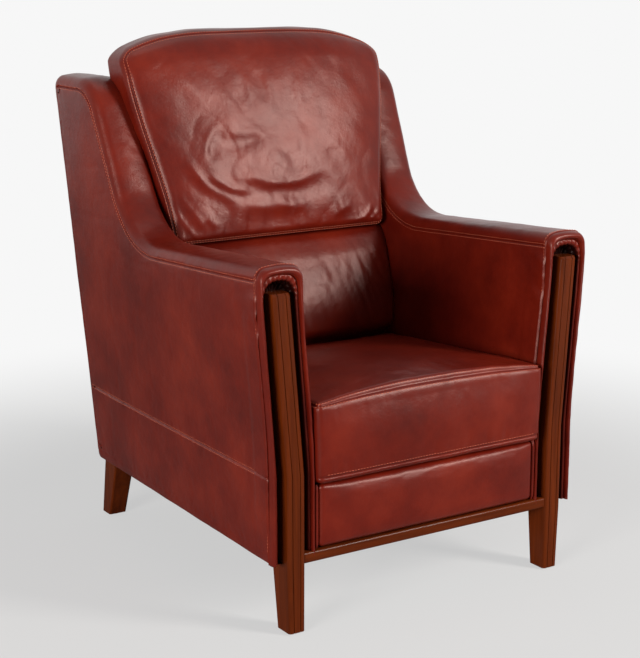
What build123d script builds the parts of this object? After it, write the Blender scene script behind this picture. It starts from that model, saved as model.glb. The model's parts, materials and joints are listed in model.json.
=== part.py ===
from build123d import *
import os
from math import atan2, cos, degrees, hypot, pi, sin, tan

# A high-backed leather armchair with show-wood stiles set into its arm fronts.
# Lengths are in millimetres. X runs to the right seen from the front, Y to the
# back, Z up. The origin is on the floor, under the middle of the chair.

# Overall
half_width = 359.0          # outer face of the wings, from the middle
depth = 834.0
height = 1023.0
front_y = -depth / 2
rear_y = depth / 2
overrun = 60.0              # how far cutting shapes run past what they cut
seat_gap = 0.3              # between pieces that lie against each other

# Side slabs: arm and wing in one
side_thickness = 88.0
side_setback = 18.0         # arm front behind the seat cushion's front
side_bottom_z = 133.0
kink_z = 289.0              # stiles run upright below here and flare above
flare_top_z = 640.0         # the sides stop flaring here
narrowing_front = 22.0      # how much narrower the sides stand at the floor end, in front
narrowing_rear = 47.0       # and at the back
rear_rake = 57.0            # the back's top lies this far behind its bottom
arm_front_z = 657.0
arm_fall = 27.0             # arm top falls this much to the wing's foot
wing_foot_back = 508.0      # from arm front to where arm and wing lines cross
wing_head_back = 640.0      # from arm front to where wing and top lines cross
wing_top_z = 929.0
base_corner_r = 20.0
arm_corner_r = 20.0
wing_foot_r = 150.0
wing_head_r = 84.0
rear_corner_r = 20.0
least_corner_r = 3.0
edge_r = 16.0               # roll of every long edge of the slabs
arm_front_y = front_y + side_setback

# Leather and seams
leather = 2.0
seam_drop = 20.0            # the top band's seams lie this far below the crown
roll_width = 14.0           # leather roll round the arm's front
skirt_seam_z = 291.0        # seam across the outer side
rear_wrap = 30.0            # side leather wraps this far onto the rear face

# Pocket in each arm front, for the stile
pocket_half_width = 30.0
pocket_depth = 34.0
pocket_top_z = 633.0
pocket_corner_r = 26.0
lining = 1.5

# Show-wood
stile_x = 291.0             # middle of the stile and front leg, from the chair's middle
stile_flare = 25.0          # the stile's top stands this much further out
stile_width = 36.0
stile_depth = 36.0
stile_proud = 4.0           # stile front ahead of the arm front
stile_top_z = 614.0
stile_bow = 4.0             # the stile's front is this much further forward at the kink
stile_top_slope = 4.0
joint_z = 125.0             # joint between stile and leg
bead_r = 6.0                # rounded front corners of the stile
quirk_inset = 10.0          # incised line, from each side of the front face
quirk_width = 1.4
quirk_depth = 1.6
leg_top_depth = 52.0        # the leg is deeper than the stile that it carries on
leg_foot_width = 33.0
leg_foot_depth = 39.0
leg_edge_r = 4.0
foot_edge = 3.0
glide_r = 11.0
glide_height = 3.0
glide_pin_r = 1.5
glide_pin_length = 14.0
rail_bottom_z = 127.0
rail_height = 20.0
rail_depth = 30.0
rail_edge_r = 4.0
tenon_length = 4.0
tenon_width = 12.0
tenon_height = 12.0
rear_leg_x = 276.0
rear_leg_y = 325.0          # middle of the leg's top
rear_leg_splay = 36.0       # its foot stands this much further back
rear_leg_top_width = 44.0
rear_leg_top_depth = 54.0
rear_foot_width = 38.0
rear_foot_depth = 36.0
dowel_r = 6.0
dowel_length = 60.0
bolt_r = 4.0
bolt_reach = 50.0           # a rear leg's bolt, into the leg and into the frame
screw_r = 2.5
screw_head_r = 4.5
screw_head = 3.0
stile_screw_bite = 18.0
stile_screw_shares = (0.18, 0.5, 0.82)   # along the stile

# Hidden side frame
pad = 20.0                  # foam over the frame, leather included
member = 50.0               # width of the frame's members
arm_rail_end_back = 440.0   # arm rail's rear end, from the arm front

# Seat frame and suspension
seat_rail = 25.0            # thickness of the seat frame's rails
seat_rail_bottom_z = 152.0
seat_rail_top_z = 244.0
side_rail_top_z = 223.0     # side rails lie below the springs' pad
seat_rail_setback = 30.0    # front rail's face behind the arm front
back_rail_top_z = 296.0
corner_block = 60.0
corner_block_height = 40.0
corner_screw_start = 24.0   # a corner screw's head, from the rail's face
seat_bolt_shares = (0.0, 0.5, 1.0)
spring_r = 1.9
spring_half_loop = 24.0
spring_pitch = 36.0
bend_share = 0.49           # bend radius of a spring's loops, of their pitch
seat_spring_count = 5
seat_spring_spread = 180.0  # outer springs, from the middle
back_spring_count = 4
back_spring_spread = 150.0
clip_width = 6.0
clip_length = 18.0
clip_wall = 1.5
deck_margin = 12.0
dust_cover_thickness = 1.5

# Back frame
crest_top_z = 920.0
crest_front_y = 291.0
crest_rail_height = 40.0
crest_rail_depth = 34.0
crest_bolt_reach = 40.0
crest_pad = 12.0
crest_cover_drop = 30.0
top_board = 22.0
back_board = 4.0
rail_back = 12.0            # faces of the raked rails, behind the cushions' rear plane

# Seat cushion
seat_front_z = 414.0        # front top seam
seat_bottom_z = 269.0
seat_half_width = 248.0
seat_flare_share = 0.03     # widening towards the top
seat_narrowing = 12.0       # each side draws in this much towards the rear
seat_rear_y = 86.0
seat_rear_top_y = 66.0
seat_fall = 26.0            # the cushion's rear lies this much lower
seat_crown = 30.0
seat_front_bulge = 8.0
seat_side_drop = 6.0
seat_edge_r = 8.0
seat_tuck = 10.0
seat_side_gap = 0.6         # between cushions and the slabs beside them
deck_gap = 0.8              # between cushions and the deck under them

# Lower front panel
panel_half_width = 239.0
panel_bottom_z = 149.5
panel_top_z = 266.0
panel_crown = 7.0
panel_edge_r = 9.0

# Back cushions: headrest above, lumbar cushion below
back_plane_y = 228.0        # rear of the cushions, at the seam between them
back_slope_share = 0.18
split_z = 612.0             # seam between headrest and lumbar cushion
split_y = 97.0
head_top_z = height
head_top_front_y = 205.0
head_half_width_low = 252.0
head_half_width_high = 300.0
head_wide_z = 945.0
head_shoulder_drop = 45.0
head_crown = 24.0
head_top_bulge = 2.0
head_top_r = 34.0
head_rear_r = 18.0
head_tuck = 12.0
lumbar_bottom_z = 250.0
lumbar_front_y = 104.0
lumbar_bulge = 32.0
lumbar_half_width = 233.5
lumbar_flare_share = 0.06
lumbar_edge_r = 9.0
lumbar_tuck = 9.0
pillow_shares = (-1.0, -0.975, -0.92, -0.65, -0.3, 0.3, 0.65, 0.92, 0.975, 1.0)
pillow_tuck_shares = (1.0, 0.35, 0.0, 0.0, 0.0, 0.0, 0.0, 0.0, 0.35, 1.0)
end_crown_share = 0.65      # how much of the crown is gone at a cushion's ends
corner_share = 0.59         # how far a rounded corner reaches towards its sharp one


def lerp(a, b, share):
    return a + (b - a) * share


def mirrored(shape):
    return mirror(shape, about=Plane.YZ)


def block(x0, x1, y0, y1, z0, z1):
    """A box between two corners."""
    size = Box(x1 - x0, y1 - y0, z1 - z0)
    return Pos((x0 + x1) / 2, (y0 + y1) / 2, (z0 + z1) / 2) * size


def rod(start, direction, radius, length):
    """A cylinder from a start point along a direction."""
    plane = Plane(origin=start, z_dir=direction)
    return extrude(plane * Circle(radius), amount=length)


def save(name, *shapes):
    solids = [s for shape in shapes for s in shape.solids()]
    export_step(Compound(solids), f"parts/{name}.step")


# The side slab's shape

def front_half_width(z):
    """Outer half width at the arm front: upright, then flaring, then upright."""
    low = half_width - narrowing_front
    share = min(max((z - kink_z) / (flare_top_z - kink_z), 0), 1)
    return lerp(low, half_width, share * share * (3 - 2 * share))


def rear_half_width(z):
    share = (z - side_bottom_z) / (wing_top_z - side_bottom_z)
    return lerp(half_width - narrowing_rear, half_width, share)


def outer_x(y, z):
    share = (y - arm_front_y) / (rear_y - arm_front_y)
    return lerp(front_half_width(z), rear_half_width(z), share)


def level_heights():
    low = side_bottom_z - overrun
    high = wing_top_z + overrun
    middle = (kink_z + flare_top_z) / 2
    return [low, side_bottom_z, kink_z, middle, flare_top_z, wing_top_z, high]


def side_layer(inner, outer):
    """What lies between two depths under the outer side, full height and depth."""
    heights = level_heights()
    span = heights[-1] - heights[0]
    rising = [(z - heights[0]) / span for z in heights]
    falling = [1 - share for share in rising[::-1]]
    rings = []
    for y in (arm_front_y - overrun, rear_y + overrun):
        out_points = [(outer_x(y, z) - outer, y, z) for z in heights]
        in_points = [(outer_x(y, z) - inner, y, z) for z in heights]
        rise = Edge.make_spline(out_points, parameters=rising)
        fall = Edge.make_spline(in_points[::-1], parameters=falling)
        top = Edge.make_line(out_points[-1], in_points[-1])
        base = Edge.make_line(in_points[0], out_points[0])
        rings.append(Wire([rise, top, fall, base]))
    return Solid.make_loft(rings, ruled=True)


def inset_outline(points, radii, inset):
    """A rounded outline, listed clockwise, drawn in by an inset."""
    count = len(points)
    lines = []
    for i in range(count):
        (ya, za), (yb, zb) = points[i], points[(i + 1) % count]
        length = hypot(yb - ya, zb - za)
        normal = ((zb - za) / length, -(yb - ya) / length)
        lines.append((ya + normal[0] * inset, za + normal[1] * inset, yb - ya, zb - za))
    corners, rounds = [], []
    for i in range(count):
        ya, za, dya, dza = lines[i - 1]
        yb, zb, dyb, dzb = lines[i]
        cross = dya * dzb - dza * dyb
        along = ((yb - ya) * dzb - (zb - za) * dyb) / cross
        corners.append((ya + dya * along, za + dza * along))
        hollow = cross > 0
        rounds.append(max(radii[i] + (inset if hollow else -inset), least_corner_r))
    return corners, rounds


def side_outline():
    wing_foot_y = arm_front_y + wing_foot_back
    wing_head_y = arm_front_y + wing_head_back
    points = [
        (arm_front_y, side_bottom_z),
        (arm_front_y, arm_front_z),
        (wing_foot_y, arm_front_z - arm_fall),
        (wing_head_y, wing_top_z),
        (rear_y, wing_top_z),
        (rear_y - rear_rake, side_bottom_z),
    ]
    radii = [base_corner_r, arm_corner_r, wing_foot_r, wing_head_r, rear_corner_r, base_corner_r]
    return points, radii


def side_prism(inset, wide=False):
    """The side outline, drawn in, as a bar out past the right side or past both."""
    points, radii = inset_outline(*side_outline(), inset)
    line = FilletPolyline(*[(0, y, z) for y, z in points], radius=radii, close=True)
    reach = half_width + overrun
    bar = extrude(make_face(line.edges()), amount=reach * (2 if wide else 1), dir=(1, 0, 0))
    return Pos(-reach, 0, 0) * bar if wide else bar


def slab(inset):
    """The right side slab with rolled edges, drawn in all round by an inset."""
    body = side_prism(inset) & side_layer(side_thickness - inset, inset)
    radius = edge_r - inset
    if radius <= seat_gap:
        return body
    rolled = [e for e in body.edges() if is_long_edge(e, inset)]
    return fillet(rolled, radius)


def is_long_edge(edge, inset):
    """Whether an edge runs along the rim of the outer or the inner face."""
    ends = [edge @ 0, edge @ 1]
    outer = [abs(p.X - outer_x(p.Y, p.Z) + inset) for p in ends]
    inner = [abs(p.X - outer_x(p.Y, p.Z) + side_thickness - inset) for p in ends]
    return max(outer) < leather or max(inner) < leather


def stile_middle(z):
    share = max(z - kink_z, 0) / (stile_top_z - kink_z)
    return stile_x + stile_flare * share


def pocket(inset):
    """The stile's pocket, drawn in by the thickness of its lining."""
    half = pocket_half_width - inset
    low, high = side_bottom_z - overrun, pocket_top_z - inset
    points = [(stile_middle(z) - half, z) for z in (low, kink_z, high)]
    points += [(stile_middle(z) + half, z) for z in (high, kink_z, low)]
    round_r = pocket_corner_r - inset
    radii = [0, wing_foot_r, round_r, round_r, wing_foot_r, 0]
    start = arm_front_y - overrun
    line = FilletPolyline(*[(x, start, z) for x, z in points], radius=radii, close=True)
    reach = overrun + pocket_depth - inset
    return extrude(make_face(line.edges()), amount=reach, dir=(0, 1, 0))


# Side pieces

def band_zone():
    """Where the top band lies: over the arm, up the wing and over its head."""
    far = half_width + overrun
    head_y = arm_front_y + wing_head_back
    start = arm_front_y + roll_width
    over_arm = block(0, far, start, head_y + member, flare_top_z - 3 * member, height)
    over_head = block(0, far, start, rear_y + overrun, wing_top_z - seam_drop, height)
    return (over_arm + over_head) - side_prism(seam_drop)


def rear_trapezoid(y0, y1, wrap, left=0):
    """A board as wide as the rear face, less a wrap; left is -1 for both halves."""
    low, high = side_bottom_z - overrun, wing_top_z + overrun
    points = [
        (left * (rear_half_width(low) - wrap), y0, low),
        (rear_half_width(low) - wrap, y0, low),
        (rear_half_width(high) - wrap, y0, high),
        (left * (rear_half_width(high) - wrap), y0, high),
    ]
    return extrude(Face(Wire.make_polygon(points, close=True)), amount=y1 - y0, dir=(0, 1, 0))


def rear_skin(wrap, outer, inner):
    """The right half of a layer under the rear face, between two depths."""
    start = rear_y - rear_rake - base_corner_r
    zone = rear_trapezoid(start, rear_y + overrun, wrap)
    return (side_prism(outer) - side_prism(inner)) & zone


def side_leather(shell):
    """The shell of one slab, parted at its seams."""
    far = half_width + overrun
    low, high = -overrun, height + overrun
    outer_half = side_layer(side_thickness / 2, -overrun)
    facing_zone = block(0, far, arm_front_y - overrun, arm_front_y + roll_width, low, high)
    band_space = band_zone()
    facing = (shell & facing_zone) + ((pocket(0) - pocket(lining)) & slab_front())
    rest = shell - facing_zone
    band = rest & band_space
    rest = rest - band_space
    outside = rest & outer_half
    above = block(0, far, front_y - overrun, rear_y + overrun, skirt_seam_z, high)
    return {
        "arm_facing": facing,
        "arm_wing_band": band,
        "side_panel_upper": outside & above,
        "side_panel_lower": outside - above,
        "inner_side_leather": rest - outer_half,
    }


def slab_front():
    """The slab's space ahead of the pocket's floor."""
    far = half_width + overrun
    return slab(0) & block(0, far, arm_front_y - overrun, arm_front_y + pocket_depth, 0, height)


def side_frame(core):
    """The hidden frame of one side, cut from a ring that follows the outline."""
    far = half_width + overrun
    inner = pad + seat_gap + member
    ring = core - side_prism(inner) - pocket(-seat_gap)
    base_z = side_bottom_z + inner
    post_y = arm_front_y + inner
    arm_end = arm_front_y + arm_rail_end_back
    low, high = -overrun, height + overrun
    base = ring & block(0, far, front_y, rear_y, low, base_z)
    above = ring & block(0, far, front_y, rear_y, base_z, high)
    rear_zone = Pos(0, -inner, 0) * rear_trapezoid_slanted()
    rear = above & rear_zone
    above = above - rear_zone
    front = above & block(0, far, front_y, post_y, low, high)
    arm = above & block(0, far, post_y, arm_end, kink_z, high)
    wing = above & block(0, far, arm_end, rear_y, low, high)
    return {
        "base_rail": base,
        "front_post": front,
        "arm_rail": arm,
        "wing_rail": wing,
        "rear_post": rear,
    }


def rear_trapezoid_slanted():
    """Everything behind the raked rear face."""
    slope = rear_rake / (wing_top_z - side_bottom_z)
    low, high = -overrun, height + overrun
    y_low = rear_y - rear_rake + slope * (low - side_bottom_z)
    y_high = rear_y + slope * (high - wing_top_z)
    far_y = rear_y + overrun + member
    points = [(0, y_low, low), (0, y_high, high), (0, far_y, high), (0, far_y, low)]
    face = Face(Wire.make_polygon(points, close=True))
    return extrude(face, amount=half_width + overrun, dir=(1, 0, 0))


# Show-wood pieces

def moulded_section(middle_x, front, width, section_depth, z):
    """A post's section: beaded front corners and an incised line beside each."""
    half = width / 2
    face = Pos(middle_x, front + section_depth / 2, z) * Rectangle(width, section_depth)
    corners = face.vertices().group_by(Axis.Y)[0]
    face = fillet(corners, bead_r)
    for side in (-1, 1):
        x = middle_x + side * (half - quirk_inset)
        groove = Pos(x, front, z) * Rectangle(quirk_width, 2 * quirk_depth)
        face = face - groove
    return face.faces()[0]


def lofted(faces):
    return Solid.make_loft([f.wires()[0] for f in faces], ruled=True)


def stile_front(z):
    share = max(z - kink_z, 0) / (stile_top_z - kink_z)
    return arm_front_y - stile_proud + stile_bow * share


def stile_rear():
    return arm_front_y + pocket_depth - lining - seat_gap


def stile_section(z, back=0):
    front = stile_front(z) + back
    return moulded_section(stile_middle(z), front, stile_width, stile_rear() - front, z)


def front_stile():
    """A stile that flares outward above the kink; its top slopes at the front."""
    faces = [stile_section(z) for z in (joint_z, kink_z, stile_top_z - stile_top_slope)]
    faces.append(stile_section(stile_top_z, stile_top_slope))
    body = lofted(faces[:2])
    for i in (1, 2):
        body = body + lofted(faces[i:i + 2])
    return body


def front_leg():
    front = stile_front(joint_z)
    top = moulded_section(stile_middle(joint_z), front, stile_width, leg_top_depth, joint_z)
    foot_front = front + foot_edge / 2
    foot_x = stile_x - (stile_width - leg_foot_width) / 2
    foot = moulded_section(foot_x, foot_front, leg_foot_width, leg_foot_depth, glide_height)
    return lofted([foot, top])


def rear_leg():
    foot = RectangleRounded(rear_foot_width, rear_foot_depth, leg_edge_r)
    top = RectangleRounded(rear_leg_top_width, rear_leg_top_depth, leg_edge_r)
    foot = Pos(rear_leg_x, rear_leg_y + rear_leg_splay, glide_height) * foot
    top = Pos(rear_leg_x, rear_leg_y, side_bottom_z) * top
    return lofted([foot.faces()[0], top.faces()[0]])


def rail_bar(gap):
    """The front rail's bar between the stiles, grown by a gap."""
    half = stile_x - stile_width / 2 - seat_gap + gap
    front = arm_front_y - gap
    back = arm_front_y + rail_depth + gap
    return block(-half, half, front, back, rail_bottom_z - gap, rail_bottom_z + rail_height + gap)


def rail_tenon(gap):
    """Tenons that run from the rail's ends into the stiles."""
    reach = stile_x - stile_width / 2 + tenon_length + gap
    middle_y = arm_front_y + rail_depth / 2
    middle_z = rail_bottom_z + rail_height / 2
    half_y, half_z = tenon_width / 2 + gap, tenon_height / 2 + gap
    return block(-reach, reach, middle_y - half_y, middle_y + half_y,
                 middle_z - half_z, middle_z + half_z)


def front_rail():
    bar = rail_bar(0)
    edges = bar.edges().filter_by(Axis.X).group_by(Axis.Y)[0]
    return fillet(edges, rail_edge_r) + rail_tenon(0)


# Fasteners

def glide(x, y):
    disc = Pos(x, y, glide_height / 2) * Cylinder(glide_r, glide_height)
    pin = rod((x, y, glide_height), (0, 0, 1), glide_pin_r, glide_pin_length)
    return disc + pin


def screw(head, direction, length):
    """A screw with a flat head, from the head's outer face along its direction."""
    top = rod(head, direction, screw_head_r, screw_head)
    return top + rod(head, direction, screw_r, length)


def stile_screws():
    """Screws from behind the right front post into the stile."""
    screws = []
    back = arm_front_y + pad + seat_gap + member
    length = back - stile_rear() + stile_screw_bite
    for share in stile_screw_shares:
        z = lerp(side_bottom_z + pad + member, stile_top_z, share)
        screws.append(screw((stile_middle(z), back, z), (0, -1, 0), length))
    return screws


def leg_dowel():
    middle_y = (stile_front(joint_z) + stile_rear()) / 2
    return rod((stile_x, middle_y, joint_z - dowel_length / 2), (0, 0, 1), dowel_r, dowel_length)


def rear_leg_bolt():
    start = (rear_leg_x, rear_leg_y, side_bottom_z - bolt_reach)
    return rod(start, (0, 0, 1), bolt_r, bolt_reach + pad + member / 2)


def seat_front_y():
    return arm_front_y + seat_rail_setback


def seat_rear_rail_y(z):
    """Front face of the rear seat rail, which leans with the back."""
    return back_y(z) + rail_back / cos(back_lean())


def seat_bolts():
    """Bolts that hold the right side slab to the seat frame."""
    z = side_bottom_z + pad + member / 2
    first = seat_front_y() + seat_rail + corner_block * 2
    last = seat_rear_rail_y(z) - corner_block * 2
    bolts = []
    for share in seat_bolt_shares:
        y = lerp(first, last, share)
        x = outer_x(y, z) - side_thickness - seat_rail
        bolts.append(rod((x, y, z), (1, 0, 0), bolt_r, seat_rail + pad + member / 2))
    return bolts


def crest_bolt():
    """A bolt from the crest rail into the right wing's frame."""
    z = crest_top_z - crest_pad - top_board - crest_rail_height / 2
    y = seat_rear_rail_y(z) + crest_rail_depth / 2
    x = outer_x(y, z) - side_thickness - crest_bolt_reach
    return rod((x, y, z), (1, 0, 0), bolt_r, crest_bolt_reach + pad + member / 2)


# Seat frame and suspension

def between_sides(shape, gap):
    """Trims a shape to the space between the two slabs."""
    side = side_layer(side_thickness + gap, -overrun)
    return shape - side - mirrored(side)


def raked_board(z0, z1, front, thickness):
    """A board across the chair that leans with the back, behind the back plane."""
    slant = cos(back_lean())
    points = [
        (0, back_y(z0) + front / slant, z0),
        (0, back_y(z1) + front / slant, z1),
        (0, back_y(z1) + (front + thickness) / slant, z1),
        (0, back_y(z0) + (front + thickness) / slant, z0),
    ]
    face = Face(Wire.make_polygon(points, close=True))
    return extrude(face, amount=half_width, dir=(1, 0, 0), both=True)


def seat_frame():
    """The front rail, the rear rail and the pair of side rails."""
    z0, z1 = seat_rail_bottom_z, seat_rail_top_z
    y0 = seat_front_y()
    front = between_sides(block(-half_width, half_width, y0, y0 + seat_rail, z0, z1), seat_gap)
    rear = between_sides(raked_board(z0, back_rail_top_z, rail_back, seat_rail), seat_gap)
    reach = block(0, half_width, y0 + seat_rail, rear_y, z0, side_rail_top_z)
    hug = side_layer(side_thickness + seat_gap + seat_rail, side_thickness + seat_gap)
    behind = raked_board(z0 - overrun, z1 + overrun, rail_back, rear_y)
    side = (reach & hug) - behind
    return front, rear, [side, mirrored(side)]


def corner_blocks():
    """Wedge-shaped blocks in the seat frame's right corners, front and rear."""
    z0 = seat_rail_bottom_z
    inside = side_layer(2 * half_width, side_thickness + seat_gap + seat_rail)
    behind = raked_board(z0 - overrun, back_rail_top_z, rail_back, rear_y)
    blocks = []
    for y, way in ((seat_front_y() + seat_rail, 1), (seat_rear_rail_y(z0), -1)):
        x = outer_x(y, z0) - side_thickness - seat_rail
        points = [
            (x + seat_rail, y, z0),
            (x - corner_block, y, z0),
            (x - corner_block, y + way * corner_block / 3, z0),
            (x - corner_block / 3, y + way * corner_block, z0),
            (x + seat_rail, y + way * corner_block, z0),
        ]
        face = Face(Wire.make_polygon(points, close=True))
        wedge = extrude(face, amount=corner_block_height, dir=(0, 0, 1)) & inside
        blocks.append(wedge - behind)
    return blocks


def corner_screws():
    """A screw through each right corner block into the rail beside it."""
    z = seat_rail_bottom_z + corner_block_height / 2
    screws = []
    for y, way in ((seat_front_y() + seat_rail, -1), (seat_rear_rail_y(z), 1)):
        x = outer_x(y, z) - side_thickness - seat_rail - corner_block * 2 / 3
        start = (x, y - way * corner_screw_start, z)
        screws.append(screw(start, (0, way, 0), corner_screw_start + seat_rail * 2 / 3))
    return screws


def zigzag(length):
    """A flat sinuous spring from the origin along +Y, with a bar at each end."""
    loops = int(length // spring_pitch)
    pitch = length / loops
    points = [(0, 0, 0)]
    side = 1
    for i in range(loops):
        points.append((side * spring_half_loop, i * pitch, 0))
        points.append((side * spring_half_loop, (i + 1) * pitch, 0))
        side = -side
    points.append((0, loops * pitch, 0))
    path = Wire(FilletPolyline(*points, radius=pitch * bend_share).edges())
    return sweep(Plane(origin=path @ 0, z_dir=path % 0) * Circle(spring_r), path=path)


def clip(way):
    """A folded steel clip over a spring's end bar; its back lies below the bar."""
    half = spring_r + seat_gap
    body = Pos(clip_width / 2, way * (half - clip_length / 2), 0)
    body = body * Box(clip_width, clip_length + 2 * clip_wall, 2 * (half + clip_wall))
    slot = Pos(clip_width / 2, way * (half + clip_wall - clip_length / 2), 0)
    slot = slot * Box(clip_width * 2, clip_length + 2 * clip_wall, 2 * half)
    return body - slot


def spread(count, reach):
    return [lerp(-reach, reach, i / (count - 1)) for i in range(count)]


def clip_height():
    """From a rail's face to the middle of a spring clipped to it."""
    return spring_r + seat_gap + clip_wall


def seat_spring_z():
    return seat_rail_top_z - clip_length - clip_height()


def seat_suspension():
    """Zigzag springs from the front rail's rear face to the rear rail, and their clips."""
    z = seat_spring_z()
    y0 = seat_front_y() + seat_rail + clip_height()
    y1 = seat_rear_rail_y(z) - clip_height() / cos(back_lean())
    one = zigzag(y1 - y0)
    springs, clips = [], []
    lean = degrees(back_lean())
    for x in spread(seat_spring_count, seat_spring_spread):
        springs.append(Pos(x, y0, z) * one)
        last = 0 if int((y1 - y0) // spring_pitch) % 2 == 0 else -clip_width
        clips.append(Pos(x, y0, z) * Rot(90, 0, 0) * clip(1))
        clips.append(Pos(x + last, y1, z) * Rot(-90 - lean, 0, 0) * clip(-1))
    return springs, clips


def deck_top_z(y):
    share = (y - front_y) / (seat_rear_y - front_y)
    return seat_bottom_z - seat_fall * share - seat_gap


def deck_pad():
    """The sloped foam over the seat springs and the front rail."""
    y0, y1 = seat_front_y(), seat_front_y() + seat_rail + seat_gap
    z0, z1 = seat_rail_top_z + seat_gap, seat_spring_z() + spring_r + seat_gap
    far = back_rail_reach()
    points = [(0, y0, z0), (0, y0, deck_top_z(y0)), (0, far, deck_top_z(far))]
    points += [(0, far, z1), (0, y1, z1), (0, y1, z0)]
    pad_face = Face(Wire.make_polygon(points, close=True))
    shape = extrude(pad_face, amount=half_width, dir=(1, 0, 0), both=True)
    _, clips = seat_suspension()
    behind = raked_board(z1 - overrun, z0 + overrun, rail_back - seat_gap, rear_y)
    trimmed = between_sides(shape - behind, deck_margin)
    for one in clips:
        trimmed = trimmed - grown_box(one)
    return trimmed


def back_rail_reach():
    return seat_rear_rail_y(seat_rail_top_z) + seat_rail


def grown_box(shape):
    box = shape.bounding_box()
    gap = seat_gap
    return block(box.min.X - gap, box.max.X + gap, box.min.Y - gap, box.max.Y + gap,
                 box.min.Z - gap, box.max.Z + gap)


def back_bottom_y():
    """Middle of the back's bottom rail, at its underside."""
    return rear_y - rear_rake - leather - back_board - seat_rail / 2


def dust_cover():
    z1 = seat_rail_bottom_z
    z0 = z1 - dust_cover_thickness
    sheet = block(-half_width, half_width, seat_front_y(), back_bottom_y(), z0, z1)
    return between_sides(sheet, seat_gap)


# The back

def back_lean():
    return atan2(back_slope_share, 1)


def back_y(z):
    """The plane that the back cushions lean on."""
    return back_plane_y + back_slope_share * (z - split_z)


def back_suspension():
    """Springs up the back, from the rear seat rail to the crest rail, and their clips."""
    slant = cos(back_lean())
    w = (rail_back - clip_height()) / slant
    z0 = back_rail_top_z - clip_length - clip_height()
    z1 = crest_rail_bottom() + clip_length + clip_height()
    one = zigzag((z1 - z0) / slant)
    last = 0 if int((z1 - z0) / slant // spring_pitch) % 2 == 0 else -clip_width
    springs, clips = [], []
    for x in spread(back_spring_count, back_spring_spread):
        low = Plane(origin=(x, back_y(z0) + w, z0), x_dir=(1, 0, 0),
                    z_dir=(0, -slant, sin(back_lean())))
        high = Plane(origin=(x + last, back_y(z1) + w, z1), x_dir=(1, 0, 0),
                     z_dir=(0, -slant, sin(back_lean())))
        springs.append(low.location * one)
        clips.append(low.location * clip(1))
        clips.append(high.location * clip(-1))
    return springs, clips


def crest_rail_bottom():
    return crest_top_z - crest_pad - leather - top_board - crest_rail_height


def crest_rail():
    z0 = crest_rail_bottom()
    return between_sides(raked_board(z0, z0 + crest_rail_height, rail_back, crest_rail_depth),
                         seat_gap)


def crest_layer(inset, z0, z1):
    """What lies between two heights at the back's top, drawn in at front and rear."""
    front = crest_front_y + inset
    zone = block(-half_width, half_width, front, rear_y + overrun, z0, z1)
    return zone & side_prism(inset, wide=True)


def back_top_band():
    """Leather over the back's top, turned down in front and behind."""
    outer = crest_layer(0, crest_top_z - crest_cover_drop, crest_top_z)
    inner = crest_layer(leather, -overrun, crest_top_z - leather)
    far = rear_y + overrun
    below = block(-half_width, half_width, crest_front_y + member, far,
                  -overrun, wing_top_z - seam_drop)
    return between_sides(outer - inner - below, seat_gap)


def rear_board(outer, thickness, z0, z1):
    """A board that leans with the rear face, at a depth under it, between the slabs."""
    lean = rear_rake / (wing_top_z - side_bottom_z)
    slant = cos(atan2(lean, 1))
    edges = []
    for z, inset in ((z0, outer + thickness), (z0, outer), (z1, outer), (z1, outer + thickness)):
        edges.append((0, rear_y - (wing_top_z - z) * lean - inset / slant, z))
    face = Face(Wire.make_polygon(edges, close=True))
    board = extrude(face, amount=2 * half_width, dir=(1, 0, 0))
    return between_sides(Pos(-half_width, 0, 0) * board, seat_gap)


def rear_sheet(wrap, outer, inner, z0, z1):
    """A layer under the rear face, right across, between two heights."""
    start = rear_y - rear_rake - base_corner_r
    layer = side_prism(outer, wide=True) - side_prism(inner, wide=True)
    layer = layer & block(-half_width, half_width, start, rear_y + overrun, z0, z1)
    return layer & rear_trapezoid(start, rear_y + overrun, wrap, -1)


# Cushions

def section_wire(corners, bulges, softness, side_x):
    """A closed section of four bulged or flat sides joined by rounded corners."""
    def place(point):
        return (side_x(*point), point[0], point[1])

    count = len(corners)
    starts, ends, middles = [], [], []
    for i in range(count):
        (ya, za), (yb, zb) = corners[i], corners[(i + 1) % count]
        length = hypot(yb - ya, zb - za)
        along = ((yb - ya) / length, (zb - za) / length)
        cut_a, cut_b = softness[i], softness[(i + 1) % count]
        starts.append((ya + along[0] * cut_a, za + along[1] * cut_a))
        ends.append((yb - along[0] * cut_b, zb - along[1] * cut_b))
        mid = ((starts[i][0] + ends[i][0]) / 2, (starts[i][1] + ends[i][1]) / 2)
        middles.append((mid[0] - along[1] * bulges[i], mid[1] + along[0] * bulges[i]))
    edges = []
    for i in range(count):
        before = ends[i - 1]
        chord = ((before[0] + starts[i][0]) / 2, (before[1] + starts[i][1]) / 2)
        tip = (lerp(chord[0], corners[i][0], corner_share),
               lerp(chord[1], corners[i][1], corner_share))
        edges.append(Edge.make_three_point_arc(place(before), place(tip), place(starts[i])))
        if bulges[i]:
            arc = Edge.make_three_point_arc(place(starts[i]), place(middles[i]), place(ends[i]))
            edges.append(arc)
        else:
            edges.append(Edge.make_line(place(starts[i]), place(ends[i])))
    return Wire(edges)


def pillow(corners_at, bulges, softness, half_at, inset, tuck):
    """A cushion lofted across the chair, its ends drawn in all round by a tuck."""
    wires = []
    for share, tuck_share in zip(pillow_shares, pillow_tuck_shares):
        corners = inset_outline(corners_at(share), softness, inset + tuck * tuck_share)[0]
        crown = 1 - end_crown_share * abs(share) ** 3
        sagittas = [b * crown for b in bulges]

        def side_x(y, z, share=share):
            return share * (half_at(y, z) - inset)

        wires.append(section_wire(corners, sagittas, softness, side_x))
    return Solid.make_loft(wires, ruled=True)


def seat_corners(share):
    drop = seat_side_drop * share * share
    return [
        (front_y + seat_front_bulge, seat_bottom_z),
        (front_y + seat_front_bulge, seat_front_z - drop),
        (seat_rear_top_y, seat_front_z - seat_fall - drop),
        (seat_rear_y, deck_top_z(seat_rear_y) + deck_gap),
    ]


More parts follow.
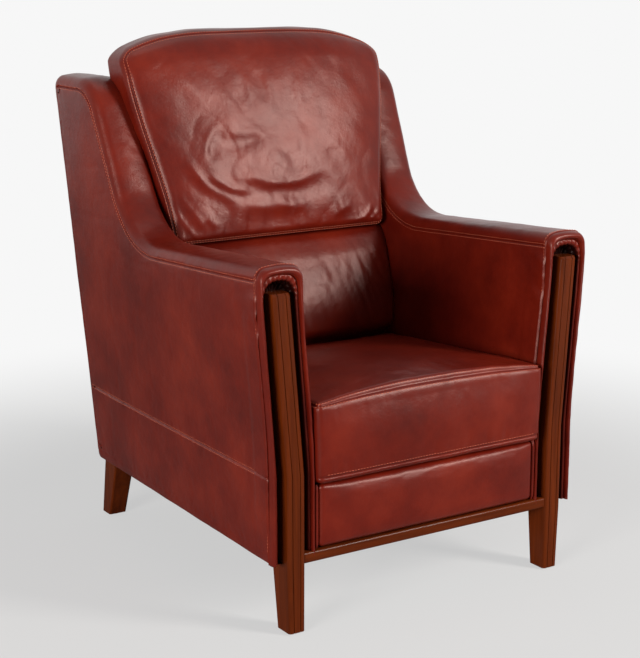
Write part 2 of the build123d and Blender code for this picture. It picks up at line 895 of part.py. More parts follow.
def seat_half(y, z):
    back = (y - front_y) / (seat_rear_y - front_y)
    return seat_half_width + seat_flare_share * (z - seat_bottom_z) - seat_narrowing * back


def seat_cushion(inset):
    softness = [seat_edge_r] * 4
    bulges = (seat_front_bulge, seat_crown, 0, 0)
    return pillow(seat_corners, bulges, softness, seat_half, inset, seat_tuck)


def lumbar_corners(share):
    foot_z = deck_top_z(back_y(lumbar_bottom_z)) + deck_gap
    return [
        (lumbar_front_y, deck_top_z(lumbar_front_y) + deck_gap),
        (split_y, split_z - deck_gap),
        (back_y(split_z) - deck_gap, split_z - deck_gap),
        (back_y(foot_z) - deck_gap, foot_z),
    ]


def lumbar_half(y, z):
    return lumbar_half_width + lumbar_flare_share * (z - lumbar_bottom_z)


def lumbar(inset):
    softness = [lumbar_edge_r] * 4
    bulges = (lumbar_bulge, 0, 0, 0)
    return pillow(lumbar_corners, bulges, softness, lumbar_half, inset, lumbar_tuck)


def head_corners(share):
    top = head_top_z - head_top_bulge - head_shoulder_drop * abs(share) ** 3
    return [
        (split_y, split_z),
        (head_top_front_y, top),
        (back_y(top) - deck_gap, top),
        (back_y(split_z) - deck_gap, split_z),
    ]


def head_half(y, z):
    slope = (head_half_width_high - head_half_width_low) / (head_wide_z - split_z)
    return head_half_width_low + slope * (z - split_z)


def wing_space(gap):
    """The right wing's space as far as it touches the headrest, grown by a gap."""
    low, high = split_z - overrun, wing_top_z + overrun
    points = []
    for z in (low, high):
        points.append((outer_x(crest_front_y, z) - side_thickness - gap, front_y, z))
    points += [(half_width + overrun, front_y, high), (half_width + overrun, front_y, low)]
    face = Face(Wire.make_polygon(points, close=True))
    return extrude(face, amount=depth, dir=(0, 1, 0)) & side_prism(-gap)


def headrest(inset):
    bulges = (head_crown, head_top_bulge, 0, 0)
    softness = (lumbar_edge_r, head_top_r, head_rear_r, lumbar_edge_r)
    body = pillow(head_corners, bulges, softness, head_half, inset, head_tuck)
    wing = wing_space(seat_side_gap + inset)
    return body - wing - mirrored(wing)


def front_panel(inset):
    """The crowned leather panel below the seat, drawn in by an inset."""
    half = panel_half_width - inset
    back, front = seat_front_y(), arm_front_y + inset
    z0, z1 = panel_bottom_z + inset, panel_top_z - inset
    crown = front - panel_crown
    edges = [
        Edge.make_line((-half, back, z0), (-half, front, z0)),
        Edge.make_three_point_arc((-half, front, z0), (0, crown, z0), (half, front, z0)),
        Edge.make_line((half, front, z0), (half, back, z0)),
        Edge.make_line((half, back, z0), (-half, back, z0)),
    ]
    body = extrude(Face(Wire(edges)), amount=z1 - z0, dir=(0, 0, 1))
    rounded = [e for e in body.edges() if e.center().Y < front + seat_gap]
    return fillet(rounded, panel_edge_r - inset)


# Everything in its place

def save_pair(name, *shapes):
    save(name + "_R", *shapes)
    save(name + "_L", *[mirrored(s) for s in shapes])


def cut(shape, tools):
    for tool in tools:
        shape = shape - tool
    return shape


def build_sides():
    whole, lined, cavity = slab(0), slab(leather), slab(pad)
    rail_space = rail_bar(seat_gap)
    bolts = seat_bolts() + [crest_bolt()]
    screws = stile_screws()
    shell = whole - lined - pocket(0) - rail_space
    below = block(0, half_width, 0, rear_y + overrun, -overrun, wing_top_z - seam_drop)
    shell = shell - (rear_skin(rear_wrap, 0, leather) & below)
    pieces = side_leather(shell)
    pieces["arm_facing"] = cut(pieces["arm_facing"] - rail_space, screws)
    pieces["inner_side_leather"] = cut(pieces["inner_side_leather"], bolts)
    pieces["side_panel_lower"] = pieces["side_panel_lower"] - rear_leg_bolt()
    for name, piece in pieces.items():
        save_pair(name, piece)
    padding = slab(leather + seat_gap) - cavity - pocket(-seat_gap) - rail_space
    padding = cut(padding, bolts + screws + [rear_leg_bolt()])
    save_pair("side_padding", padding)
    frame = side_frame(slab(pad + seat_gap))
    for name, piece in frame.items():
        save_pair(name, cut(piece, bolts + screws + [rear_leg_bolt()]))


def build_show_wood():
    stile = cut(front_stile(), [rail_tenon(seat_gap), leg_dowel()] + stile_screws())
    save_pair("front_stile", stile)
    foot_y = stile_front(joint_z) + foot_edge / 2 + leg_foot_depth / 2
    foot_x = stile_x - (stile_width - leg_foot_width) / 2
    front_glide = glide(foot_x, foot_y)
    rear_glide = glide(rear_leg_x, rear_leg_y + rear_leg_splay)
    save_pair("front_leg", cut(front_leg(), [leg_dowel(), front_glide]))
    save_pair("rear_leg", cut(rear_leg(), [rear_leg_bolt(), rear_glide]))
    save("front_rail", front_rail())
    save("leg_dowels", leg_dowel(), mirrored(leg_dowel()))
    save("foot_glides", front_glide, rear_glide, mirrored(front_glide), mirrored(rear_glide))


def build_seat():
    front, rear, sides = seat_frame()
    bolts = seat_bolts()
    bolts += [mirrored(b) for b in bolts]
    blocks = corner_blocks()
    screws = corner_screws()
    blocks = [cut(b, screws) for b in blocks]
    blocks += [mirrored(b) for b in blocks]
    screws += [mirrored(s) for s in screws]
    springs, clips = seat_suspension()
    back_springs, back_clips = back_suspension()
    save("seat_rail_front", cut(front, screws))
    save("seat_rail_rear", cut(rear, screws))
    save("seat_side_rails", *[cut(s, bolts) for s in sides])
    save("corner_blocks", *blocks)
    both = stile_screws()
    both += [mirrored(s) for s in both]
    save("frame_screws", *screws, *both)
    crest = crest_bolt()
    leg_bolt = rear_leg_bolt()
    save("frame_bolts", *bolts, crest, mirrored(crest), leg_bolt, mirrored(leg_bolt))
    save("seat_springs", *springs)
    save("back_springs", *back_springs)
    save("spring_clips", *clips, *back_clips)
    save("seat_deck_pad", deck_pad())
    save("dust_cover", dust_cover())
    save("front_panel_leather", front_panel(0) - front_panel(leather))
    save("front_panel_padding", front_panel(leather))


def build_back():
    pad_bottom = crest_top_z - leather - crest_pad
    crest = crest_bolt()
    save("crest_rail", cut(crest_rail(), [crest, mirrored(crest)]))
    board = crest_layer(2 * leather + back_board, pad_bottom - top_board, pad_bottom)
    save("back_top_board", between_sides(board, seat_gap))
    save("back_top_pad", between_sides(crest_layer(leather, pad_bottom, crest_top_z - leather),
                                       seat_gap))
    save("back_top_band", back_top_band())
    low, top = seat_rail_bottom_z + leather, wing_top_z - seam_drop
    save("back_board", rear_board(leather + seat_gap, back_board, low, pad_bottom))
    depth_in = leather + seat_gap + back_board
    save("back_bottom_rail", rear_board(depth_in, seat_rail, low, low + member))
    wrap = rear_wrap + seat_gap
    save("back_panel_upper", rear_sheet(wrap, 0, leather, skirt_seam_z, top - seat_gap))
    save("back_panel_lower", rear_sheet(wrap, 0, leather, -overrun, skirt_seam_z))
    z0 = back_rail_top_z + member / 2
    z1 = crest_rail_bottom() - member / 2
    support = raked_board(z0, z1, seat_gap, rail_back - clip_height() - spring_r - 2 * seat_gap)
    save("back_support_pad", between_sides(support, deck_margin))


def build_cushions():
    for name, form in (("seat_cushion", seat_cushion), ("lumbar", lumbar), ("headrest", headrest)):
        save(name + "_cover", form(0) - form(leather))
        save(name + "_foam", form(leather + seat_gap))


os.makedirs("parts", exist_ok=True)
build_show_wood()
build_seat()
build_back()
build_cushions()
build_sides()
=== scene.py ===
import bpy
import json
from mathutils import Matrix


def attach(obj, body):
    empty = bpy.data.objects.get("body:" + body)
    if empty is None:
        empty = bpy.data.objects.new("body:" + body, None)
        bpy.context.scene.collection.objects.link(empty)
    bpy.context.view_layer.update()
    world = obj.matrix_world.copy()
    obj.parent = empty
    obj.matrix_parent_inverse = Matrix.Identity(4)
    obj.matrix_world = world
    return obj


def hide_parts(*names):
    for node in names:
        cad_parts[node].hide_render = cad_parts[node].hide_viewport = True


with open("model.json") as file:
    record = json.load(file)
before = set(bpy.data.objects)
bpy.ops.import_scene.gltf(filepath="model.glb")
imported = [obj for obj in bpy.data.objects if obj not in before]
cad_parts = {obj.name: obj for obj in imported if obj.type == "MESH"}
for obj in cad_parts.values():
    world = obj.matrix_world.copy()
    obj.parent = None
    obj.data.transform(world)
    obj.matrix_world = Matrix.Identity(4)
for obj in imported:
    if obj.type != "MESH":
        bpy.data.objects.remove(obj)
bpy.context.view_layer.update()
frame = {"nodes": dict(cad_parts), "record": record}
import json

import bpy
import numpy as np
from mathutils import Quaternion, Vector
from mathutils.geometry import delaunay_2d_cdt

# The chair's measures, in metres
FRONT_Y, REAR_Y, REAR_FOOT_Y = -0.399, 0.417, 0.360
BASE_Z, KINK_Z, FLARE_Z, WING_Z = 0.133, 0.289, 0.640, 0.929
FRONT_HALF, FRONT_FLARE = 0.337, 0.022
REAR_HALF, REAR_FLARE = 0.312, 0.047
SIDE_THICK = 0.088
ARM_FRONT_Z, ARM_REAR_Y, ARM_REAR_Z = 0.657, 0.109, 0.630
WING_FRONT_Y = 0.241
ROLL = 0.016
SEAM_D = 0.020
FACING_Y = FRONT_Y + 0.014
SKIRT_Z = 0.291
REAR_WRAP = 0.030
ARM_CROWN = 0.0050

# The leaning face behind the back cushions, and the height where the headrest starts on it
BACK_Y, BACK_LEAN, HEAD_FOOT_Z = 0.228, 0.18, 0.612

# A seam's groove, the rows of stitches on its two sides and one stitch
GROOVE, GROOVE_HALF = 0.0026, 0.0020
ROW_OFF, SKIRT_ROW_OFF = 0.0034, 0.0036
STITCH, STITCH_GAP, STITCH_THICK = 0.0042, 0.0020, 0.00052

# Working values: the outline's step, how near points count as one, a batch of points, out of
# reach and next to nothing
PATH_STEP = 0.004
MERGE = 0.00004
BATCH = 4000
FAR = 9.0
TINY = 1e-12


# Noise and small mathematics

# Tables of random values, and a shift that keeps the noise's cells off the chair's middle
LATTICE_SIZE, LATTICE_COUNT, LATTICE_SHIFT = 32, 12, 100.37


def smooth(x):
    x = np.clip(x, 0, 1)
    return x * x * (3 - 2 * x)


def lattice(seed):
    return np.random.default_rng(seed).random((LATTICE_SIZE,) * 3) * 2 - 1


LATTICES = [lattice(seed) for seed in range(LATTICE_COUNT)]


def noise3(p, scale, seed):
    """Smooth noise from -1 to 1 at points p, with features of about scale metres."""
    q = p / scale + LATTICE_SHIFT
    i = np.floor(q).astype(int)
    f = q - i
    f = f * f * (3 - 2 * f)
    table = LATTICES[seed % LATTICE_COUNT]
    size = LATTICE_SIZE
    out = 0
    for dx in (0, 1):
        wx = f[..., 0] if dx else 1 - f[..., 0]
        for dy in (0, 1):
            wy = f[..., 1] if dy else 1 - f[..., 1]
            for dz in (0, 1):
                wz = f[..., 2] if dz else 1 - f[..., 2]
                v = table[(i[..., 0] + dx) % size, (i[..., 1] + dy) % size, (i[..., 2] + dz) % size]
                out = out + wx * wy * wz * v
    return out


def ridges(p, scale, seed, sharp):
    """Crease-like noise: 0 on flats, rising to 1 along wandering lines."""
    return np.clip(1 - np.abs(noise3(p, scale, seed)) * sharp, 0, 1) ** 2


def bump(x, width):
    return np.exp(-(x / width) ** 2)


def run_length(points):
    """The distance along a run at each of its points."""
    return np.concatenate([[0], np.cumsum(np.linalg.norm(np.diff(points, axis=0), axis=1))])


def xyz(x, y, z):
    """Points from three coordinates, each a number or an array."""
    return np.stack(np.broadcast_arrays(x, y, z), 1)


# Meshes

def new_object(name, data):
    obj = bpy.data.objects.new(name, data)
    bpy.context.scene.collection.objects.link(obj)
    return obj


def new_mesh(name, verts, faces, mat, trim):
    """A smooth-shaded object; trim drops the points that no face uses."""
    verts = np.asarray(verts, float)
    if trim:
        used = np.unique(np.concatenate([np.asarray(f) for f in faces]))
        index = -np.ones(len(verts), int)
        index[used] = np.arange(len(used))
        verts = verts[used]
        faces = [index[list(f)] for f in faces]
    mesh = bpy.data.meshes.new(name)
    mesh.from_pydata(verts.tolist(), [], [tuple(int(i) for i in f) for f in faces])
    mesh.update()
    mesh.polygons.foreach_set("use_smooth", [True] * len(mesh.polygons))
    mesh.materials.append(mat)
    return new_object(name, mesh)


def grid_quads(rows, cols, wrap=False):
    faces = []
    last = cols if wrap else cols - 1
    for i in range(rows - 1):
        for j in range(last):
            a, b = i * cols + j, i * cols + (j + 1) % cols
            faces.append((a, b, b + cols, a + cols))
    return faces


def sheet(rows, turned=True):
    """A net of quads through rows of points; turned, its faces look the other way."""
    faces = grid_quads(len(rows), len(rows[0]))
    return np.concatenate(rows), [f[::-1] for f in faces] if turned else faces


# The side slabs' outer face and outline

# The outline's corners in Y and Z, from the front's foot over the arm and the wing
OUTLINE = np.array([(FRONT_Y, BASE_Z), (FRONT_Y, ARM_FRONT_Z), (ARM_REAR_Y, ARM_REAR_Z),
                    (WING_FRONT_Y, WING_Z), (REAR_Y, WING_Z), (REAR_FOOT_Y, BASE_Z)])
RADII = np.array([0.020, 0.020, 0.150, 0.084, 0.024, 0.024])
LEAST_RADIUS = 0.001
FACING_CLEAR = 0.021
FACING_STEPS = np.array([0.0, 0.0012, 0.0025, 0.004])


def rear_half(z):
    """Half the chair's width along its rear edge."""
    return REAR_HALF + REAR_FLARE * (z - BASE_Z) / (WING_Z - BASE_Z)


def outer_x(y, z):
    """Half the chair's width over its sides."""
    share = smooth((z - KINK_Z) / (FLARE_Z - KINK_Z))
    front = FRONT_HALF + FRONT_FLARE * share
    return front + (rear_half(z) - front) * (y - FRONT_Y) / (REAR_Y - FRONT_Y)


def outline_corners(inset):
    """Corner points and radii of the slab's outline drawn in by an inset."""
    n = len(OUTLINE)
    base, way = [], []
    for i in range(n):
        a, b = OUTLINE[i], OUTLINE[(i + 1) % n]
        d = (b - a) / np.linalg.norm(b - a)
        base.append(a + np.array([d[1], -d[0]]) * inset)
        way.append(d)
    corners, radii = [], []
    for i in range(n):
        pa, da, pb, db = base[i - 1], way[i - 1], base[i], way[i]
        cross = da[0] * db[1] - da[1] * db[0]
        t = ((pb[0] - pa[0]) * db[1] - (pb[1] - pa[1]) * db[0]) / cross
        corners.append(pa + da * t)
        hollow = cross > 0
        radii.append(max(RADII[i] + (inset if hollow else -inset), LEAST_RADIUS))
    return corners, radii


def outline_path(inset):
    """The outline as points and outward normals, clockwise from the front's foot."""
    corners, radii = outline_corners(inset)
    n = len(corners)
    arcs = []
    for i in range(n):
        before, here, after = corners[i - 1], corners[i], corners[(i + 1) % n]
        u = (here - before) / np.linalg.norm(here - before)
        v = (after - here) / np.linalg.norm(after - here)
        turn = np.arccos(np.clip(u @ v, -1, 1))
        cut = radii[i] * np.tan(turn / 2)
        arcs.append((here - u * cut, here + v * cut, u, v, turn))
    pts, nrm = [], []
    for i, (start, end, u, v, turn) in enumerate(arcs):
        bend = -1 if u[0] * v[1] - u[1] * v[0] > 0 else 1
        left = np.array([-u[1], u[0]])
        centre = start - left * radii[i] * bend
        count = max(int(radii[i] * turn / PATH_STEP), 6)
        for k in range(count):
            angle = turn * k / count * -bend
            c, s = np.cos(angle), np.sin(angle)
            normal = np.array([c * left[0] - s * left[1], s * left[0] + c * left[1]])
            pts.append(centre + normal * radii[i] * bend)
            nrm.append(normal)
        run = arcs[(i + 1) % n][0] - end
        count = max(int(np.linalg.norm(run) / PATH_STEP), 2)
        for k in range(count):
            pts.append(end + run * k / count)
            nrm.append(np.array([-v[1], v[0]]))
    return np.array(pts), np.array(nrm)


def slab_path():
    """The outline a roll's width inside the edge, open in front: from the arm's top at the
    facing's seam, over the wing and down the rear, to the foot at the facing's seam."""
    pts, nrm = outline_path(ROLL)
    keep = pts[:, 0] > FRONT_Y + FACING_CLEAR
    first = np.argmax(keep & ~np.roll(keep, 1))
    count = int(keep.sum())
    pts, nrm = np.roll(pts, -first, 0)[:count], np.roll(nrm, -first, 0)[:count]
    slope = (pts[1, 1] - pts[0, 1]) / (pts[1, 0] - pts[0, 0])
    ys = FACING_Y + FACING_STEPS
    n = len(ys)
    tops = np.stack([ys, pts[0, 1] + (ys - pts[0, 0]) * slope], 1)
    feet = np.stack([ys[::-1], np.full(n, pts[-1, 1])], 1)
    pts = np.vstack([tops, pts, feet])
    nrm = np.vstack([np.tile(nrm[0], (n, 1)), nrm, np.tile(nrm[-1], (n, 1))])
    return pts, nrm


def depth_at(yz):
    """Depth of points inside the slab's outline, roughly, from sampled outline points."""
    pts, nrm = outline_path(0.0)
    out = np.empty(len(yz))
    for start in range(0, len(yz), BATCH):
        part = yz[start:start + BATCH]
        d = part[:, None, :] - pts[None]
        dist = np.einsum("ijk,ijk->ij", d, d)
        k = dist.argmin(1)
        sign = -np.sign(np.einsum("ij,ij->i", part - pts[k], nrm[k]))
        out[start:start + BATCH] = sign * np.sqrt(dist[np.arange(len(part)), k])
    return out


# Materials

# The mesh attribute that marks where the leather is painted dark as painted shade: inside the arm
# facings' pleats and pocket
POCKET = "pocket"
HIDE_ROUGH, SHOW_WOOD_ROUGH = 0.29, 0.18
ALONG_X, ALONG_Z = (3.0, 60.0, 60.0), (60.0, 60.0, 3.0)

# The Mix node's sockets for colours
MIX_A, MIX_B, MIX_RESULT = 6, 7, 2


def principled(name, color, rough, **settings):
    mat = bpy.data.materials.new(name)
    mat.use_nodes = True
    tree = mat.node_tree
    bsdf = tree.nodes["Principled BSDF"]
    bsdf.inputs["Base Color"].default_value = (*color, 1)
    bsdf.inputs["Roughness"].default_value = rough
    for key, value in settings.items():
        bsdf.inputs[key.replace("_", " ")].default_value = value
    return mat, tree, bsdf


def node(tree, kind, **inputs):
    made = tree.nodes.new(kind)
    for key, value in inputs.items():
        made.inputs[key.replace("_", " ")].default_value = value
    return made


def object_place(tree):
    return tree.nodes.new("ShaderNodeTexCoord").outputs["Object"]


def placed(tree, kind, vector, **inputs):
    """A node that reads its place from a vector."""
    made = node(tree, kind, **inputs)
    tree.links.new(vector, made.inputs["Vector"])
    return made


def tinted(tree, value, stops):
    """A value's colour on a ramp of (position, colour) stops."""
    made = tree.nodes.new("ShaderNodeValToRGB")
    line = made.color_ramp
    while len(line.elements) < len(stops):
        line.elements.new(0.5)
    for element, (position, color) in zip(line.elements, stops):
        element.position = position
        element.color = (*color, 1)
    tree.links.new(value, made.inputs["Fac"])
    return made.outputs["Color"]


def bumped(tree, height, strength, distance):
    """A bump node raised by a height."""
    made = node(tree, "ShaderNodeBump", Strength=strength, Distance=distance)
    tree.links.new(height, made.inputs["Height"])
    return made


def leather(name, dark, mid, light, lining):
    """Polished leather with cloudy patches, fine grain and wear; where the mesh has its pocket
    attribute, inside pleats and pockets, its colour is painted nearly black (lining) as painted
    shade."""
    mat, tree, bsdf = principled(name, mid, HIDE_ROUGH, Specular_Tint=(1.0, 0.72, 0.66, 1),
                                 Specular_IOR_Level=0.25)
    link = tree.links.new
    place = object_place(tree)
    cloud = placed(tree, "ShaderNodeTexNoise", place, Scale=6.0, Detail=7.0, Roughness=0.66)
    tint = tinted(tree, cloud.outputs["Fac"], [(0.28, dark), (0.5, mid), (0.74, light)])
    # painted shade: where the pocket attribute is 1 the base colour mixes over to the nearly black
    # lining colour, standing in for the shadow inside the pocket
    shade = tree.nodes.new("ShaderNodeAttribute")
    shade.attribute_name = POCKET
    pocket_shade_mix = tree.nodes.new("ShaderNodeMix")
    pocket_shade_mix.data_type = "RGBA"
    link(shade.outputs["Fac"], pocket_shade_mix.inputs["Factor"])
    link(tint, pocket_shade_mix.inputs[MIX_A])
    pocket_shade_mix.inputs[MIX_B].default_value = (*lining, 1)
    link(pocket_shade_mix.outputs[MIX_RESULT], bsdf.inputs["Base Color"])
    patch = placed(tree, "ShaderNodeTexNoise", place, Scale=14.0, Detail=5.0, Roughness=0.6)
    spread = node(tree, "ShaderNodeMapRange", To_Min=HIDE_ROUGH - 0.05, To_Max=HIDE_ROUGH + 0.10)
    link(patch.outputs["Fac"], spread.inputs["Value"])
    link(spread.outputs["Result"], bsdf.inputs["Roughness"])
    cells = placed(tree, "ShaderNodeTexVoronoi", place, Scale=620.0)
    cells.feature = "DISTANCE_TO_EDGE"
    grain = bumped(tree, cells.outputs["Distance"], 0.12, 0.0004)
    fine = placed(tree, "ShaderNodeTexNoise", place, Scale=55.0, Detail=7.0, Roughness=0.68)
    wear = bumped(tree, fine.outputs["Fac"], 0.48, 0.0013)
    link(grain.outputs["Normal"], wear.inputs["Normal"])
    link(wear.outputs["Normal"], bsdf.inputs["Normal"])
    return mat


def wood(name, dark, light, rough, stretch=ALONG_Z):
    """Wood whose grain runs along the axis with the small stretch."""
    mat, tree, bsdf = principled(name, light, rough, Specular_IOR_Level=0.09)
    along = placed(tree, "ShaderNodeMapping", object_place(tree), Scale=stretch)
    grain = placed(tree, "ShaderNodeTexNoise", along.outputs["Vector"], Scale=1.0, Detail=8.0,
                   Roughness=0.65, Distortion=0.6).outputs["Fac"]
    tint = tinted(tree, grain, [(0.3, dark), (0.7, light)])
    tree.links.new(tint, bsdf.inputs["Base Color"])
    lift = bumped(tree, grain, 0.15, 0.0004)
    tree.links.new(lift.outputs["Normal"], bsdf.inputs["Normal"])
    return mat


def mottled(name, dark, light, rough, scale, **settings):
    mat, tree, bsdf = principled(name, light, rough, **settings)
    cloud = placed(tree, "ShaderNodeTexNoise", object_place(tree), Scale=scale, Detail=4.0)
    tint = tinted(tree, cloud.outputs["Fac"], [(0.35, dark), (0.65, light)])
    tree.links.new(tint, bsdf.inputs["Base Color"])
    return mat


HIDE_COLORS = ((0.066, 0.0036, 0.0018), (0.114, 0.0072, 0.0028), (0.172, 0.0142, 0.0052))
# The nearly black colour painted inside the arm facings' pleats and pockets as painted shade
POCKET_SHADE_COLOR = (0.010, 0.0010, 0.0006)
SHOW_WOOD_COLORS = ((0.054, 0.0085, 0.0014), (0.124, 0.0200, 0.0026))

HIDE = leather("hide", *HIDE_COLORS, POCKET_SHADE_COLOR)
SHOW_WOOD = wood("show_wood", *SHOW_WOOD_COLORS, SHOW_WOOD_ROUGH)
RAIL_WOOD = wood("rail_wood", *SHOW_WOOD_COLORS, SHOW_WOOD_ROUGH, ALONG_X)
FRAME_WOOD = wood("frame_wood", (0.42, 0.27, 0.15), (0.62, 0.45, 0.28), 0.65)
THREAD = mottled("thread", (0.40, 0.085, 0.04), (0.56, 0.13, 0.065), 0.6, 900.0)
FOAM = mottled("foam", (0.72, 0.66, 0.5), (0.8, 0.75, 0.6), 0.95, 300.0)
LINING = mottled("lining", (0.012, 0.012, 0.013), (0.03, 0.03, 0.032), 0.9, 500.0)
STEEL = mottled("steel", (0.35, 0.35, 0.36), (0.5, 0.5, 0.5), 0.35, 60.0, Metallic=1.0)
GLIDE = mottled("glide", (0.06, 0.055, 0.05), (0.09, 0.085, 0.08), 0.5, 80.0)

CAD_MATERIALS = {"show_wood": SHOW_WOOD, "frame_wood": FRAME_WOOD, "hide": HIDE, "foam": FOAM,
                 "lining": LINING, "steel": STEEL, "glide": GLIDE}
for part in frame["record"]["subparts"]:
    shape = frame["nodes"][part["node"]]
    shape.data.materials.clear()
    along_x = part["node"] == "front_rail"
    shape.data.materials.append(RAIL_WOOD if along_x else CAD_MATERIALS[part["material_slot"]])


def piece(name, mesh, nodes, body="chair", mat=HIDE, trim=False):
    """A mesh of (verts, faces) that rides on a body in place of its CAD nodes."""
    obj = new_mesh(name, *mesh, mat, trim)
    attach(obj, body)
    if nodes:
        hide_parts(*nodes)
    return obj


# Stitches

# A stitch's stations: the place along it and the thickness there, as shares
STITCH_PROFILE = ((-0.5, 0.2), (-0.32, 0.85), (0.0, 1.0), (0.32, 0.85), (0.5, 0.2))
STITCH_SIDES = 6
LOOK_AHEAD = 0.001
STITCH_LIFT, STITCH_SINK = 0.0003, 0.0006


def point_at(s, dist, values):
    return np.array([np.interp(s, dist, values[:, k]) for k in range(3)])


def stitch_mesh(runs):
    """Small stitches along runs of (points, normals), their ends sunk into the leather."""
    verts, faces = [], []
    n = STITCH_SIDES
    ring = [(np.cos(t), np.sin(t)) for t in np.linspace(0, 2 * np.pi, n, endpoint=False)]
    for pts, nrm in runs:
        dist = run_length(pts)
        for s in np.arange(STITCH / 2, dist[-1] - STITCH / 2, STITCH + STITCH_GAP):
            here = point_at(s, dist, pts)
            way = point_at(s + LOOK_AHEAD, dist, pts) - here
            way /= np.linalg.norm(way) + TINY
            up = point_at(s, dist, nrm)
            up /= np.linalg.norm(up) + TINY
            side = np.cross(up, way)
            base = len(verts)
            for along, size in STITCH_PROFILE:
                lift = up * (STITCH_LIFT - STITCH_SINK * (2 * along) ** 2)
                middle = here + way * along * STITCH + lift
                for c, q in ring:
                    verts.append(middle + (side * c + up * q) * STITCH_THICK * size)
            for i in range(len(STITCH_PROFILE) - 1):
                for j in range(n):
                    a, b = base + i * n + j, base + i * n + (j + 1) % n
                    faces.append((a, b, b + n, a + n))
            end = len(verts) - n
            faces.append(tuple(base + j for j in reversed(range(n))))
            faces.append(tuple(end + j for j in range(n)))
    return verts, faces


def stitches(name, body, runs):
    piece(name, stitch_mesh(runs), (), body, THREAD)


# Side slabs

# Depths inside the outline at which the rim's strip has its rows, closest at the seam
SECTION_D = [0.034, 0.030, 0.027, 0.0245, 0.023, 0.022,
             0.0212, 0.0204, 0.0196, 0.0188, 0.018, 0.0165]
SEAM_ROW = SECTION_D.index(0.0204)
MIDDLE_ROWS = 9
FACE_CROWN = 0.0035
OUTER_SEED, INNER_SEED = 1, 4

# Where the band over arm and wing lies: above the seat, up to the wing's rear corner
BAND_Z, BAND_REAR_Y, WING_EDGE_Y, BAND_TILT = 0.4, 0.405, 0.26, 0.15

# The net inside the rim: its spacing and ends, and its lines beside the facing and skirt seams
NET, NET_REAR_Y, NET_TOP_Z = 0.006, 0.42, 0.92
FRONT_PARTS = 90
FACING_LINES = (0.0012, 0.0025, 0.004, 0.006, 0.009)
SKIRT_LINES = (0.0008, 0.0015, 0.0025, 0.004, 0.006, 0.01)
ARM_TOP_Z, ARM_FALL = 0.6563, 0.053


def outward(side, lateral):
    """1 or -1: the way along X that a slab's outer face, or its inner one, looks."""
    return side if lateral == 0 else -side


def slab_surface(yz, lateral, side):
    """Points on the slab: yz in the side view, lateral depth under the outer face."""
    y, z = yz.T
    return xyz(side * (outer_x(y, z) - lateral), y, z)


def face_relief(yz, depth, seed, seamed):
    """How far the leather of a side's flat face stands out."""
    y, z = yz.T
    p = xyz(y, z, 0)
    past_seam = np.maximum(depth - SEAM_D, 0)
    relief = FACE_CROWN * (1 - np.exp(-past_seam / 0.05))
    relief = relief + (0.0011 * noise3(p, 0.17, seed) + 0.0005 * noise3(p, 0.06, seed + 1))
    relief += 0.0005 * np.exp(-past_seam / 0.016) * noise3(p, 0.009, seed + 2)
    relief -= seamed * GROOVE * bump(depth - SEAM_D, GROOVE_HALF)
    relief -= 0.0004 * ridges(p, 0.05, seed + 3, 6.0)
    relief -= GROOVE * bump(y - FACING_Y, GROOVE_HALF)
    # slack folds that fan out from the facing below the arm's end
    pull = xyz((y + 0.6 * z) * 0.35, z - 0.45 * y, 0)
    corner = bump(y - FACING_Y, 0.040) * bump(z - 0.575, 0.055)
    relief += 0.0030 * corner * noise3(pull, 0.013, seed + 4)
    return relief


def face_points(yz, lateral, depth, side, more=0.0, seamed=1.0):
    """Points on a slab's outer or inner face, out by the leather's relief and by more."""
    pts = slab_surface(yz, lateral, side)
    seed = OUTER_SEED if lateral == 0 else INNER_SEED
    pts[:, 0] += outward(side, lateral) * (face_relief(yz, depth, seed, seamed) + more)
    return pts


def strip_section():
    """Rows (lateral depth, outline depth) across the slab's rim, and the outer rows' count."""
    r = ROLL
    rows = [(0.0, d) for d in SECTION_D]
    arc = [(r * (1 - np.cos(t)), r * (1 - np.sin(t))) for t in np.linspace(0, np.pi / 2, 9)]
    rows += arc
    half = len(rows)
    parts = MIDDLE_ROWS + 1
    rows += [(r + (SIDE_THICK - 2 * r) * k / parts, 0.0) for k in range(1, parts)]
    rows += [(SIDE_THICK - a, d) for a, d in arc[::-1]]
    rows += [(SIDE_THICK, d) for d in SECTION_D[::-1]]
    return np.array(rows), half


def in_band(path, normal):
    """The part of the outline that the band over arm and wing covers."""
    up_facing = (normal[:, 1] > BAND_TILT) & (path[:, 0] < BAND_REAR_Y)
    return (path[:, 1] > BAND_Z) & (up_facing | (path[:, 0] < WING_EDGE_Y))


